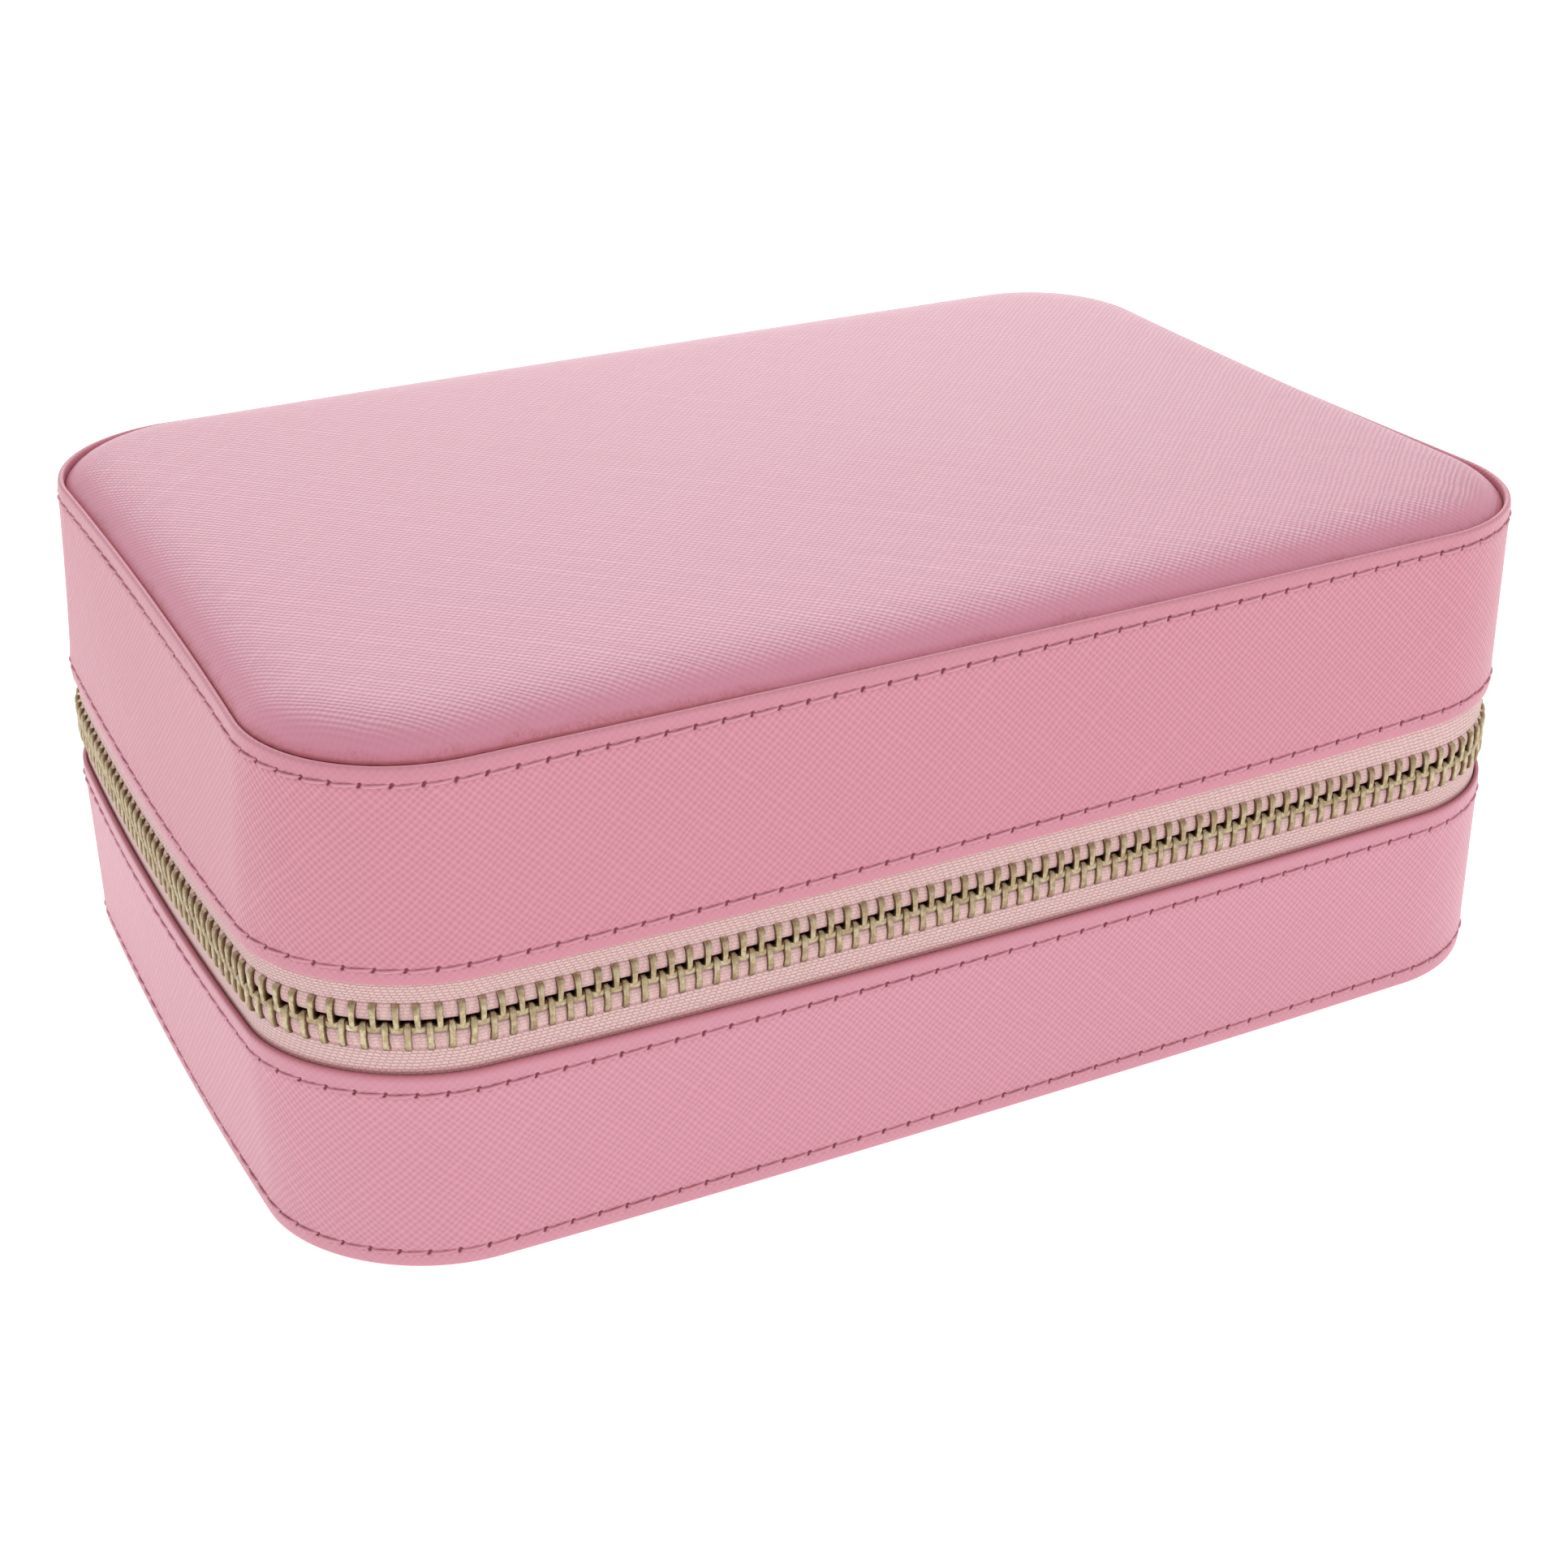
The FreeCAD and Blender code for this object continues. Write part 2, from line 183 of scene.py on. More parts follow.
def make_studio():
    """White surroundings, a little brighter seen straight on than as light, and two lamps."""
    world = bpy.data.worlds.new("studio")
    world.use_nodes = True
    nodes, links = world.node_tree.nodes, world.node_tree.links
    background = nodes["Background"]
    background.inputs["Color"].default_value = (1, 1, 1, 1)
    strength = nodes.new("ShaderNodeMapRange")
    strength.inputs["To Min"].default_value = WORLD_LIGHT
    strength.inputs["To Max"].default_value = WORLD_SEEN
    links.new(nodes.new("ShaderNodeLightPath").outputs["Is Camera Ray"], strength.inputs["Value"])
    links.new(strength.outputs[0], background.inputs["Strength"])
    bpy.context.scene.world = world
    bpy.context.scene.view_settings.view_transform = "Standard"
    make_lamp("back_window", (0.45, 1.00, 0.80), 1.6, 10.5)
    make_lamp("front_fill", (0.35, -1.2, 0.5), 0.8, 1.4)


# ---------------------------------------------------------------- shader nodes

def node_operator(operation, flipped=False):
    def apply(self, other=0.0):
        pair = (other, self) if flipped else (self, other)
        return self.shader.math(operation, *pair)
    return apply


class Field:
    """A number that varies over a surface: a node's output, with ordinary arithmetic."""

    def __init__(self, shader, socket):
        self.shader = shader
        self.socket = socket

    __add__ = __radd__ = node_operator("ADD")
    __sub__ = node_operator("SUBTRACT")
    __rsub__ = node_operator("SUBTRACT", flipped=True)
    __mul__ = __rmul__ = node_operator("MULTIPLY")
    __truediv__ = node_operator("DIVIDE")
    __pow__ = node_operator("POWER")
    __abs__ = node_operator("ABSOLUTE")


class Shader:
    """A Principled material built from nodes, with short calls for the common ones."""

    def __init__(self, name, **constants):
        self.material = bpy.data.materials.new(name)
        self.material.use_nodes = True
        self.tree = self.material.node_tree
        self.bsdf = self.tree.nodes["Principled BSDF"]
        for socket, value in constants.items():
            self.bsdf.inputs[socket.replace("_", " ")].default_value = value

    def node(self, kind, **settings):
        made = self.tree.nodes.new("ShaderNode" + kind)
        for key, value in settings.items():
            setattr(made, key, value)
        return made

    def feed(self, value, socket):
        """Links a field or a node's output to a socket, or sets a plain value on it."""
        if isinstance(value, Field):
            value = value.socket
        if isinstance(value, bpy.types.NodeSocket):
            self.tree.links.new(value, socket)
        else:
            socket.default_value = value

    def math(self, operation, *values):
        made = self.node("Math", operation=operation)
        for value, socket in zip(values, made.inputs):
            self.feed(value, socket)
        return Field(self, made.outputs[0])

    def mix(self, factor, a, b):
        made = self.node("Mix", data_type="RGBA")
        for value, socket in ((factor, "Factor"), (a, "A"), (b, "B")):
            self.feed(value, made.inputs[socket])
        return made.outputs["Result"]

    def step(self, value, low, high, to_low=0.0, to_high=1.0):
        """A smooth ramp of value from low to high."""
        made = self.node("MapRange", interpolation_type="SMOOTHSTEP")
        for number, socket in zip((value, low, high, to_low, to_high), made.inputs):
            self.feed(number, socket)
        return Field(self, made.outputs[0])

    def split(self, vector):
        made = self.node("SeparateXYZ")
        self.tree.links.new(vector, made.inputs[0])
        return [Field(self, axis) for axis in made.outputs]

    def uv(self):
        """[u, v] of the piece's own layer, in millimetres over the surface."""
        return self.split(self.node("UVMap", uv_map="skin").outputs[0])[:2]

    def place(self):
        """[x, y, z] on the piece, in millimetres."""
        return [axis * (1 / MM) for axis in self.split(self.node("TexCoord").outputs["Object"])]

    def vector(self, x, y, z=0.0):
        made = self.node("CombineXYZ")
        for value, socket in zip((x, y, z), made.inputs):
            self.feed(value, socket)
        return made.outputs[0]

    def noise(self, vector, scale, detail=2.0, rough=0.5):
        made = self.node("TexNoise")
        for value, socket in ((vector, "Vector"), (scale, "Scale"), (detail, "Detail"), (rough, "Roughness")):
            self.feed(value, made.inputs[socket])
        return Field(self, made.outputs["Fac"])

    def bump(self, height, distance_mm, strength=1.0, after=None):
        made = self.node("Bump")
        made.inputs["Distance"].default_value = distance_mm * MM
        made.inputs["Strength"].default_value = strength
        self.feed(height, made.inputs["Height"])
        if after is not None:
            self.feed(after, made.inputs["Normal"])
        return made.outputs[0]

    def finish(self, colour, rough, normal):
        for value, socket in ((colour, "Base Color"), (rough, "Roughness"), (normal, "Normal")):
            self.feed(value, self.bsdf.inputs[socket])
        return self.material


def rgb(red, green, blue):
    return (red, green, blue, 1.0)


def tint(colour, *shares):
    """The colour with each channel scaled by its own share, no brighter than 1."""
    return rgb(*(min(1.0, channel * share) for channel, share in zip(colour, shares)))


# ---------------------------------------------------------------- materials

def ridges(shader, across, along, pitch, seed):
    """Long pressed ridges, with a pitch that wanders as on real embossing."""
    wander = shader.noise(shader.vector(across * 0.42, along * 0.018, seed), 1.0, 1.0) * 0.95
    waver = shader.noise(shader.vector(across, along, seed + 5), 0.22, 1.0) * 0.5
    moved = across + (wander + waver)
    return shader.math("COSINE", moved * (2 * math.pi / pitch)) * 0.5 + 0.5


def leather(name, colour, grain_on, major=1, stitched=(), bare=(), crevice=False, depth=0.11, gloss=0.47,
            level=0.4, lip_shade=None):
    """Cross-hatched coated leather, with painted highlight on its ridges and painted shade in its furrows and
    pits. stitched are the heights of needle rows on it.

    grain_on is "skin" for a wall, where u runs round the case, or "flat" for x and y.
    bare are (low, high) bands of v where the hatching is pressed smooth.
    The band of v given as the lip is where painted shade darkens the leather towards a folded edge that curls
    inward.
    """
    shader = Shader(name, Specular_IOR_Level=level, Sheen_Weight=0.05)
    u, v = shader.uv() if grain_on == "skin" else shader.place()[:2]
    diagonal = 1 / math.sqrt(2)
    down = (u - v) * diagonal
    rise = (u + v) * diagonal
    one, other = (down, rise) if major > 0 else (rise, down)
    strong = ridges(shader, one, other, STRONG_PITCH, 1.0)
    weak = ridges(shader, other, one, WEAK_PITCH, 9.0)
    grain = strong * STRONG_SHARE + weak * WEAK_SHARE
    full = 1.0
    for low, high in bare:
        inside = shader.step(v, low, low + 0.5) * shader.step(v, high, high + 0.5, 1.0, 0.0)
        full = full * (inside * -0.65 + 1.0)
    if crevice:
        full = shader.step(shader.uv()[1], 0.5, 6.5, 0.42, 1.0)
    cloud = shader.noise(shader.vector(u, v, 3.0), 0.035, 3.0)
    fleck = shader.noise(shader.vector(u, v, 7.0), 3.2, 2.0)
    # Painted highlight and shade of the embossing: the pale tone lightens the ridge tops (and, further down,
    # random flecks); the deep tone darkens the furrows and, more, the pits where ridges cross.
    pale = tint(colour, 1.06, 1.13, 1.11)
    deep = tint(colour, 0.90, 0.78, 0.80)
    tone = shader.mix(grain * full, tint(colour, 0.985, 0.96, 0.965), pale)
    furrow_shade = (1.0 - grain) ** 1.4 * 0.42
    pit_shade = (1.0 - strong) * (1.0 - weak)
    tone = shader.mix(furrow_shade * full, tone, deep)
    tone = shader.mix(pit_shade * full * 0.75, tone, deep)
    tone = shader.mix(shader.step(cloud, 0.3, 0.7, 0.0, 0.09), tone, tint(colour, 0.97, 0.86, 0.86))
    tone = shader.mix(shader.step(fleck, 0.55, 0.85, 0.0, 0.16), tone, pale)
    if stitched:
        tone = stitch_marks(shader, tone, colour, u, v, stitched)
    # Painted light: near the crevice the top's slope is painted lighter and pinker, offsetting the shade it
    # gets as it faces the front; on the walls the smooth bare bands are painted a little darker and greyer
    # for how light falls on their rounded faces.
    painted_light_tint, painted_light_share = ((1.20, 1.07, 1.12), 0.9) if crevice else ((0.90, 0.92, 0.88), 0.45)
    tone = shader.mix((1.0 - full) * painted_light_share, tone, tint(colour, *painted_light_tint))
    if lip_shade:
        # Painted shade where the folded lip curls inward towards the tape.
        tone = shader.mix(shader.step(v, lip_shade[0], lip_shade[1], 0.0, 0.7), tone, tint(colour, 0.70, 0.38, 0.42))
    if crevice:
        tone = crevice_soil_and_shade(shader, tone, u, v)
    fine = shader.bump(fleck, 0.02, 0.6)
    return shader.finish(tone, grain * -0.08 + gloss, shader.bump(grain * full, depth, 1.0, fine))


def stitch_marks(shader, tone, colour, u, v, rows):
    """A painted shadow line along each stitch row, just above the thread, with painted shade in a needle hole
    at every stitch.
    """
    turn = u / STITCH
    off = (turn - shader.math("ROUND", turn)) * STITCH
    for row in rows:
        rise = v - row
        line = abs(rise - 0.16)
        # Painted shadow of the thread: a thin dark line just above it.
        tone = shader.mix(shader.step(line, 0.02, 0.16, 0.16, 0.0), tone, tint(colour, 0.55, 0.3, 0.32))
        # Painted shade filling each needle hole.
        tone = shader.mix(needle_hole_shade(shader, u, off, rise), tone, rgb(0.17, 0.015, 0.032))
    return tone


def needle_hole_shade(shader, u, off, rise):
    """Painted shade in a torn needle hole: two short crossing slits whose angles differ from hole to hole."""
    vary = shader.noise(shader.vector(u * 0.23, 5.0), 1.0, 1.0) - 0.5
    slits = []
    for angle, length, width in ((62, 0.46, 0.25), (8, 0.44, 0.15)):
        turned = vary * 1.6 + math.radians(angle)
        cosine = shader.math("COSINE", turned)
        sine = shader.math("SINE", turned)
        along = off * cosine + rise * sine
        across = rise * cosine - off * sine
        slits.append((along / length) ** 2.0 + (across / width) ** 2.0)
    return shader.step(shader.math("MINIMUM", *slits), 0.5, 1.5, 0.92, 0.0)


def crevice_soil_and_shade(shader, tone, x, y):
    """Brownish rub marks where the padded top meets the rim, and painted shade deepening into the crevice; v
    of the skin layer is its inset.
    """
    around, inset = shader.uv()
    edge = shader.noise(shader.vector(around, inset, 2.0), 0.16, 3.0)
    near = shader.step(inset / shader.step(edge, 0.35, 0.75, 0.25, 1.9), 0.35, 1.2, 1.0, 0.0)
    specks = shader.noise(shader.vector(x, y, 4.0), 2.4, 3.0, 0.7)
    worn = near * shader.step(specks, 0.42, 0.60, 0.0, 0.6)
    tone = shader.mix(worn, tone, rgb(0.44, 0.155, 0.150))
    # Painted shade: darker and deeper maroon the nearer the crevice, darkest right at it.
    tone = shader.mix(shader.step(inset, 0.15, 1.3, 0.45, 0.0), tone, rgb(0.52, 0.125, 0.165))
    return shader.mix(shader.step(inset, 0.10, 0.42, 0.8, 0.0), tone, rgb(0.36, 0.060, 0.085))


def woven(name, colour):
    """Zip tape: slanted rows of tight stitches whose lean turns over, fainter on the cord edge."""
    shader = Shader(name, Specular_IOR_Level=0.25, Sheen_Weight=0.25, Sheen_Roughness=0.5)
    u, v = shader.uv()
    sway = shader.noise(shader.vector(u, v, 4.0), 0.9, 2.0)
    lean = shader.math("PINGPONG", v - ZIP_Z, 2.9) * 0.5
    bricks = shader.node("TexBrick", offset=0.5, offset_frequency=2, squash=1.0)
    leant = shader.vector(lean + u + sway * 0.5, sway * 0.35 + v)
    for value, socket in ((leant, "Vector"), (1.0, "Scale"), (0.105, "Mortar Size"), (1.0, "Mortar Smooth"),
                          (0.0, "Bias"), (0.84, "Brick Width"), (0.44, "Row Height"),
                          (rgb(1, 1, 1), "Color1"), (rgb(0.86, 0.86, 0.86), "Color2"),
                          (rgb(0, 0, 0), "Mortar")):
        shader.feed(value, bricks.inputs[socket])
    grey = shader.node("RGBToBW")
    shader.feed(bricks.outputs["Color"], grey.inputs[0])
    weave = Field(shader, grey.outputs[0])
    away = abs(v - ZIP_Z)
    flat = shader.step(away, 2.75, 3.15, 0.55, 1.0)
    fibre = shader.noise(shader.vector(u, v, 1.0), 4.0, 3.0, 0.7)
    folds = shader.noise(shader.vector(u * 1.6, v * 0.25), 1.0, 2.0)
    tone = shader.mix(weave, tint(colour, 0.68, 0.56, 0.56), tint(colour, 0.98, 0.97, 0.97))
    creased = shader.step(folds, 0.35, 0.65)
    cord = shader.mix(creased, tint(colour, 0.90, 0.76, 0.80), tint(colour, 1, 1.03, 1))
    tone = shader.mix(flat, cord, tone)
    # Painted shade along the crease between the cord edge and the flat weave.
    seam = shader.step(abs(away - 2.95), 0.04, 0.16, 0.45, 0.0)
    tone = shader.mix(seam, tone, tint(colour, 0.42, 0.2, 0.22))
    tone = shader.mix(shader.step(fibre, 0.5, 0.8, 0.0, 0.22), tone, tint(colour, 1.1, 1.2, 1.2))
    # Painted shade: the tape turns dark red where it tucks behind the base's lip, as the shadow there looks
    # with pink light bounced into it.
    tucked = shader.step(v, BASE_TOP + 0.1, BASE_TOP + 0.75, 0.6, 0.0)
    tone = shader.mix(tucked, tone, tint(colour, 0.62, 0.24, 0.28))
    height = fibre * 0.3 + weave * flat + folds * 0.5
    return shader.finish(tone, 0.85, shader.bump(height, 0.09, 0.8))


def thread_finish(name, colour):
    """Twisted sewing thread: fine slanted plies along the strand."""
    shader = Shader(name, Specular_IOR_Level=0.35, Sheen_Weight=0.2)
    u, v = shader.uv()
    twist = shader.math("SINE", u * 15.0 + v * 9.0)
    tone = shader.mix(twist * 0.5 + 0.5, tint(colour, 0.86, 0.7, 0.74), rgb(*colour))
    return shader.finish(tone, 0.55, shader.bump(twist, 0.02, 0.5))


def brass(name, cast=False):
    """Antique brass. Teeth carry painted shade down their sides towards the tape, and are pale where they
    rub; cast pieces are more even.
    """
    shader = Shader(name, Metallic=1.0, Specular_IOR_Level=0.5)
    spot = shader.vector(*shader.place())
    blotch = shader.noise(spot, 1.3, 4.0, 0.65)
    grit = shader.noise(spot, 7.0, 3.0, 0.7)
    if cast:
        tone = shader.mix(shader.step(blotch, 0.3, 0.7), rgb(0.27, 0.21, 0.115), rgb(0.40, 0.34, 0.20))
        grit = grit * 0.25 + 0.375
    else:
        patina = shader.mix(shader.step(blotch, 0.35, 0.65), rgb(0.40, 0.30, 0.16), rgb(0.60, 0.52, 0.32))
        bright = shader.mix(shader.step(grit, 0.35, 0.7), rgb(0.62, 0.54, 0.34), rgb(0.86, 0.82, 0.62))
        tone = shader.mix(shader.step(blotch, 0.42, 0.72, 0.15, 0.9), patina, bright)
        # Painted shade: the teeth darken down their sides towards the tape.
        unshaded_share = shader.uv()[0]
        tone = shader.mix(shader.step(unshaded_share, 0.30, 0.84, 0.95, 0.0), tone, rgb(0.20, 0.115, 0.070))
    edge = shader.node("NewGeometry").outputs["Pointiness"]
    tone = shader.mix(shader.step(edge, 0.52, 0.60, 0.0, 0.45), tone, rgb(0.88, 0.82, 0.62))
    tone = shader.mix(shader.step(edge, 0.40, 0.49, 0.7, 0.0), tone, rgb(0.13, 0.06, 0.03))
    tone = shader.mix(shader.step(grit, 0.30, 0.44, 0.55, 0.0), tone, rgb(0.20, 0.13, 0.07))
    return shader.finish(tone, shader.step(grit, 0.2, 0.8, 0.28, 0.46), shader.bump(grit, 0.05, 0.7))


def suede(name, colour):
    """Short-pile lining with soft brushed clouds."""
    shader = Shader(name, Specular_IOR_Level=0.15, Sheen_Weight=0.6, Sheen_Roughness=0.45)
    spot = shader.vector(*shader.place())
    pile = shader.noise(spot, 3.5, 4.0, 0.7)
    brushed = shader.noise(spot, 0.06, 3.0)
    tone = shader.mix(shader.step(pile, 0.3, 0.7), tint(colour, 0.86, 0.80, 0.80), rgb(*colour))
    tone = shader.mix(shader.step(brushed, 0.35, 0.65, 0.0, 0.22), tone, tint(colour, 0.9, 0.84, 0.85))
    return shader.finish(tone, 0.9, shader.bump(pile, 0.12, 0.6))


def mottled(name, colour, grain):
    """Pressed board or foam inside the walls, with flecks or cells."""
    shader = Shader(name, Specular_IOR_Level=0.2)
    fleck = shader.noise(shader.vector(*shader.place()), grain, 4.0, 0.6)
    tone = shader.mix(shader.step(fleck, 0.35, 0.65), tint(colour, 0.7, 0.68, 0.64), rgb(*colour))
    return shader.finish(tone, 0.9, shader.bump(fleck, 0.15, 0.6))


def glass_finish(name):
    """Silvered mirror with a faint haze of dust."""
    shader = Shader(name, Metallic=1.0, Specular_IOR_Level=0.5)
    haze = shader.noise(shader.vector(*shader.place()), 0.15, 5.0, 0.6)
    tone = shader.mix(shader.step(haze, 0.4, 0.7), rgb(0.93, 0.945, 0.95), rgb(0.88, 0.90, 0.905))
    return shader.finish(tone, shader.step(haze, 0.45, 0.8, 0.02, 0.07), shader.bump(haze, 0.002, 0.1))


def floor_finish(name):
    """Plain pale studio sweep with a barely visible tooth."""
    shader = Shader(name, Specular_IOR_Level=0.1, Emission_Color=rgb(1, 1, 1), Emission_Strength=0.90)
    tooth = shader.noise(shader.vector(*shader.place()), 0.4, 3.0)
    tone = shader.mix(tooth, rgb(0.56, 0.56, 0.56), rgb(0.58, 0.58, 0.58))
    return shader.finish(tone, 0.9, shader.bump(tooth, 0.05, 0.1))


# ---------------------------------------------------------------- mesh helpers

def rounded_path(half_x, half_y, radius):
    """A rounded rectangle as breakpoints of length, arc centre and normal angle.

    It starts at the middle of the back and runs left, front, right, as seen from above
    anticlockwise."""
    x = half_x - radius
    y = half_y - radius
    bend = radius * math.pi / 2
    runs = [x, bend, 2 * y, bend, 2 * x, bend, 2 * y, bend, x]
    knots = np.concatenate([[0], np.cumsum(runs)])
    centre_x = [0, -x, -x, -x, -x, x, x, x, x, 0]
    centre_y = [y, y, y, -y, -y, -y, -y, y, y, y]
    angle = np.radians([90, 90, 180, 180, 270, 270, 360, 360, 450, 450])
    return {"knots": knots, "x": centre_x, "y": centre_y, "angle": angle, "radius": radius,
            "length": knots[-1]}


SHELL = rounded_path(X_HALF, Y_HALF, CORNER)
STITCH = SHELL["length"] / STITCHES


def bulge(x, y, z):
    """How far the soft walls stand off the plain rounded rectangle, as (dx, dy, dz).

    The lid is also slightly twisted: its front right corner stands up, its back right down.
    """
    lifted = np.clip((z - LID_BOTTOM + 3.0) / 3.0, 0, 1)
    side_x = np.clip(1 - (y / Y_HALF) ** 2, 0, 1) * np.clip(np.abs(x) / X_HALF, 0, 1) ** 4
    side_y = np.clip(1 - (x / X_HALF) ** 2, 0, 1) * np.clip(np.abs(y) / Y_HALF, 0, 1) ** 4

    def amount(bows):
        return np.interp(z, BOW_LEVELS, bows)
    out_x = np.where(x < 0, -amount(BOW_LEFT), amount(BOW_RIGHT)) * side_x
    out_y = np.where(y < 0, -amount(BOW_FRONT), amount(BOW_BACK)) * side_y
    twist = -LID_TWIST * lifted * (x / X_HALF) * (y / Y_HALF)
    corner = np.clip(np.abs(x) / X_HALF * np.clip(-y / Y_HALF, 0, 1), 0, 1) ** 3
    rise = amount(CORNER_RISE) * corner
    return out_x, out_y, twist + rise


def on_path(path, s, inset, z, bow=1.0):
    """Points at arc length s, moved in from the path by inset, and their normal angles."""
    s, inset, z = np.broadcast_arrays(s, inset, z)
    wrapped = np.mod(s, path["length"])
    angle = np.interp(wrapped, path["knots"], path["angle"])
    out = path["radius"] - inset
    x = np.interp(wrapped, path["knots"], path["x"]) + out * np.cos(angle)
    y = np.interp(wrapped, path["knots"], path["y"]) + out * np.sin(angle)
    dx, dy, dz = bulge(x, y, z)
    return np.stack([x + bow * dx, y + bow * dy, z + bow * dz], -1), angle


def build(name, points, faces, uv, material, sharp=None):
    """A smooth-shaded piece from millimetre points; uv has one pair per face corner."""
    mesh = bpy.data.meshes.new(name)
    mesh.from_pydata((np.asarray(points, float).reshape(-1, 3) * MM).tolist(), [], faces)
    if uv is not None:
        layer = mesh.uv_layers.new(name="skin")
        layer.data.foreach_set("uv", np.asarray(uv, float).ravel())
    mesh.polygons.foreach_set("use_smooth", [True] * len(mesh.polygons))
    if sharp:
        mesh.set_sharp_from_angle(angle=math.radians(sharp))
    mesh.materials.append(material)
    piece = bpy.data.objects.new(name, mesh)
    bpy.context.scene.collection.objects.link(piece)
    return piece


def grid_faces(columns, rows, wrap_columns, wrap_rows):
    """Quads of a columns x rows grid of points, closed round either way, and their corners."""
    i = np.arange(columns if wrap_columns else columns - 1)
    j = np.arange(rows if wrap_rows else rows - 1)
    i, j = (a.ravel() for a in np.meshgrid(i, j, indexing="ij"))
    corners = [(i, j), (i + 1, j), (i + 1, j + 1), (i, j + 1)]
    faces = np.stack([(a % columns) * rows + b % rows for a, b in corners], -1)
    return faces.tolist(), corners


def corner_uv(u, v, corners):
    """The (u, v) pairs of each quad of a grid, from u by column and v by row."""
    return np.stack([np.stack([u[a], v[b]], -1) for a, b in corners], 1)


def split_profile(profile):
    """A list of (inset, z, ...) points as one (1, rows) array for each coordinate."""
    return [np.array(column, float)[None] for column in zip(*profile)]


def run_lengths(inset, z):
    """Distance along a profile up to each of its points."""
    return np.concatenate([[0], np.cumsum(np.hypot(np.diff(inset[0]), np.diff(z[0])))])


def sweep(name, path, columns, inset, z, v, material, closed_round=True, bow=1.0):
    """A closed profile carried along a path. inset and z are (columns, rows), v is (rows + 1,)."""
    shape = (len(columns), len(v) - 1)
    inset = np.broadcast_to(inset, shape)
    z = np.broadcast_to(z, shape)
    points, _ = on_path(path, columns[:, None], inset, z, bow)
    faces, corners = grid_faces(*shape, closed_round, True)
    u_values = np.append(columns, path["length"] if closed_round else columns[-1])
    uv = corner_uv(u_values, v, corners).reshape(-1, 2)
    if not closed_round:
        ring = list(range(shape[1]))
        last = (shape[0] - 1) * shape[1]
        faces += [ring[::-1], [last + k for k in ring]]
        ends = [(columns[0], v[k]) for k in ring[::-1]] + [(columns[-1], v[k]) for k in ring]
        uv = np.concatenate([uv, ends])
    return build(name, points, faces, uv, material)


def loft(sections):
    """Points and faces of a closed loft through rings of equal length, capped at both ends."""
    count = len(sections[0])
    faces, _ = grid_faces(len(sections), count, False, True)
    last = (len(sections) - 1) * count
    caps = [list(range(count))[::-1], [last + k for k in range(count)]]
    return np.concatenate(sections), faces + caps


def smooth_bell(x, width):
    return np.exp(-(x / width) ** 2)


def stitch_offset(s):
    """Distance along the row to the nearest needle hole."""
    return (s / STITCH - np.round(s / STITCH)) * STITCH


def fine_levels(coarse, rows):
    """Heights of a wall's outer face: a few far from the stitching, many across it."""
    across = (-1.3, -0.9, -0.6, -0.42, -0.28, -0.14, 0, 0.14, 0.28, 0.42, 0.6, 0.9, 1.3)
    near = [row + d for row in rows for d in across]
    far = [z for z in coarse if all(abs(z - row) > 1.7 for row in rows)]
    return sorted(near + far)


def wall(name, rows, outer, lower_lip, upper_lip, material):
    """A leather wall: folded lips joined by an outer face with stitched valleys.

    outer is (lowest, highest) height of its face; the lips are (inset, z) from the inside
    face round to the outside, and from the outside round to the inside.
    """
    low, high = outer
    levels = [z for z in fine_levels(np.arange(low, high, 1.6), rows) if low < z < high]
    inset, z = split_profile(lower_lip + [(0.0, z) for z in levels] + upper_lip)
    middle = len(lower_lip)
    on_face = np.zeros(z.shape[1])
    on_face[middle:middle + len(levels)] = 1
    v = run_lengths(inset, z)
    v += z[0, middle] - v[middle]
    v = np.append(v, v[-1] + 2.0)
    columns = np.arange(STITCHES * 10) * (SHELL["length"] / (STITCHES * 10))
    around = columns[:, None]
    off = stitch_offset(around)
    pillow = 0.035 * (1 - np.cos(2 * math.pi * around / STITCH))
    deep = 0.05 * np.sin(around * 0.11) * np.sin(z * 0.19 + 1)
    for row in rows:
        valley = 0.09 * smooth_bell(z - row, 0.42)
        hole = 0.26 * smooth_bell(off, 0.30) * smooth_bell(z - row, 0.30)
        deep += valley + hole - pillow * smooth_bell(np.abs(z - row) - 0.8, 0.5)
    return sweep(name, SHELL, columns, inset + deep * on_face, z, v, material)


def strand_rings(centre, angle, thick):
    """Six-sided rings round the points of a strand that lies along a path."""
    turns = np.arange(6)[None, :, None] * math.pi / 3
    out = np.stack([np.cos(angle), np.sin(angle), np.zeros_like(angle)], -1)[:, None]
    return centre[:, None] + np.reshape(thick, (-1, 1, 1)) * (np.cos(turns) * out + np.sin(turns) * (0, 0, 1))


def threads(name, rows, material):
    """Lockstitch strands from hole to hole, each dipping into the leather at its ends."""
    along = np.array([0.03, 0.09, 0.18, 0.32, 0.5, 0.68, 0.82, 0.91, 0.97])
    dip = np.array([0.42, 0.2, 0.04, -0.03, -0.05, -0.03, 0.04, 0.2, 0.42])
    lean = np.array([-0.10, -0.10, -0.09, -0.06, 0, 0.04, 0.06, 0.07, 0.07])
    thick = 0.18 * np.clip(1.15 - dip, 0.6, 1.1)
    _, corners = grid_faces(len(along), 6, False, True)
    points, faces, uv = [], [], []
    for row in rows:
        for k in range(STITCHES):
            s = (k + along) * STITCH
            wobble = scatter.normal(0, 0.02, 2)
            centre, angle = on_path(SHELL, s, dip - 0.02 + wobble[0], row - 0.06 + lean + wobble[1])
            strand, strand_faces = loft(strand_rings(centre, angle, thick))
            start = len(points) * len(strand)
            points.append(strand)
            faces += [[start + n for n in face] for face in strand_faces]
            uv += corner_uv(s, np.arange(7.0), corners).reshape(-1, 2).tolist()
            uv += [(s[0], n) for n in range(6)] + [(s[-1], n) for n in range(6)]
    return build(name, np.concatenate(points), faces, uv, material)


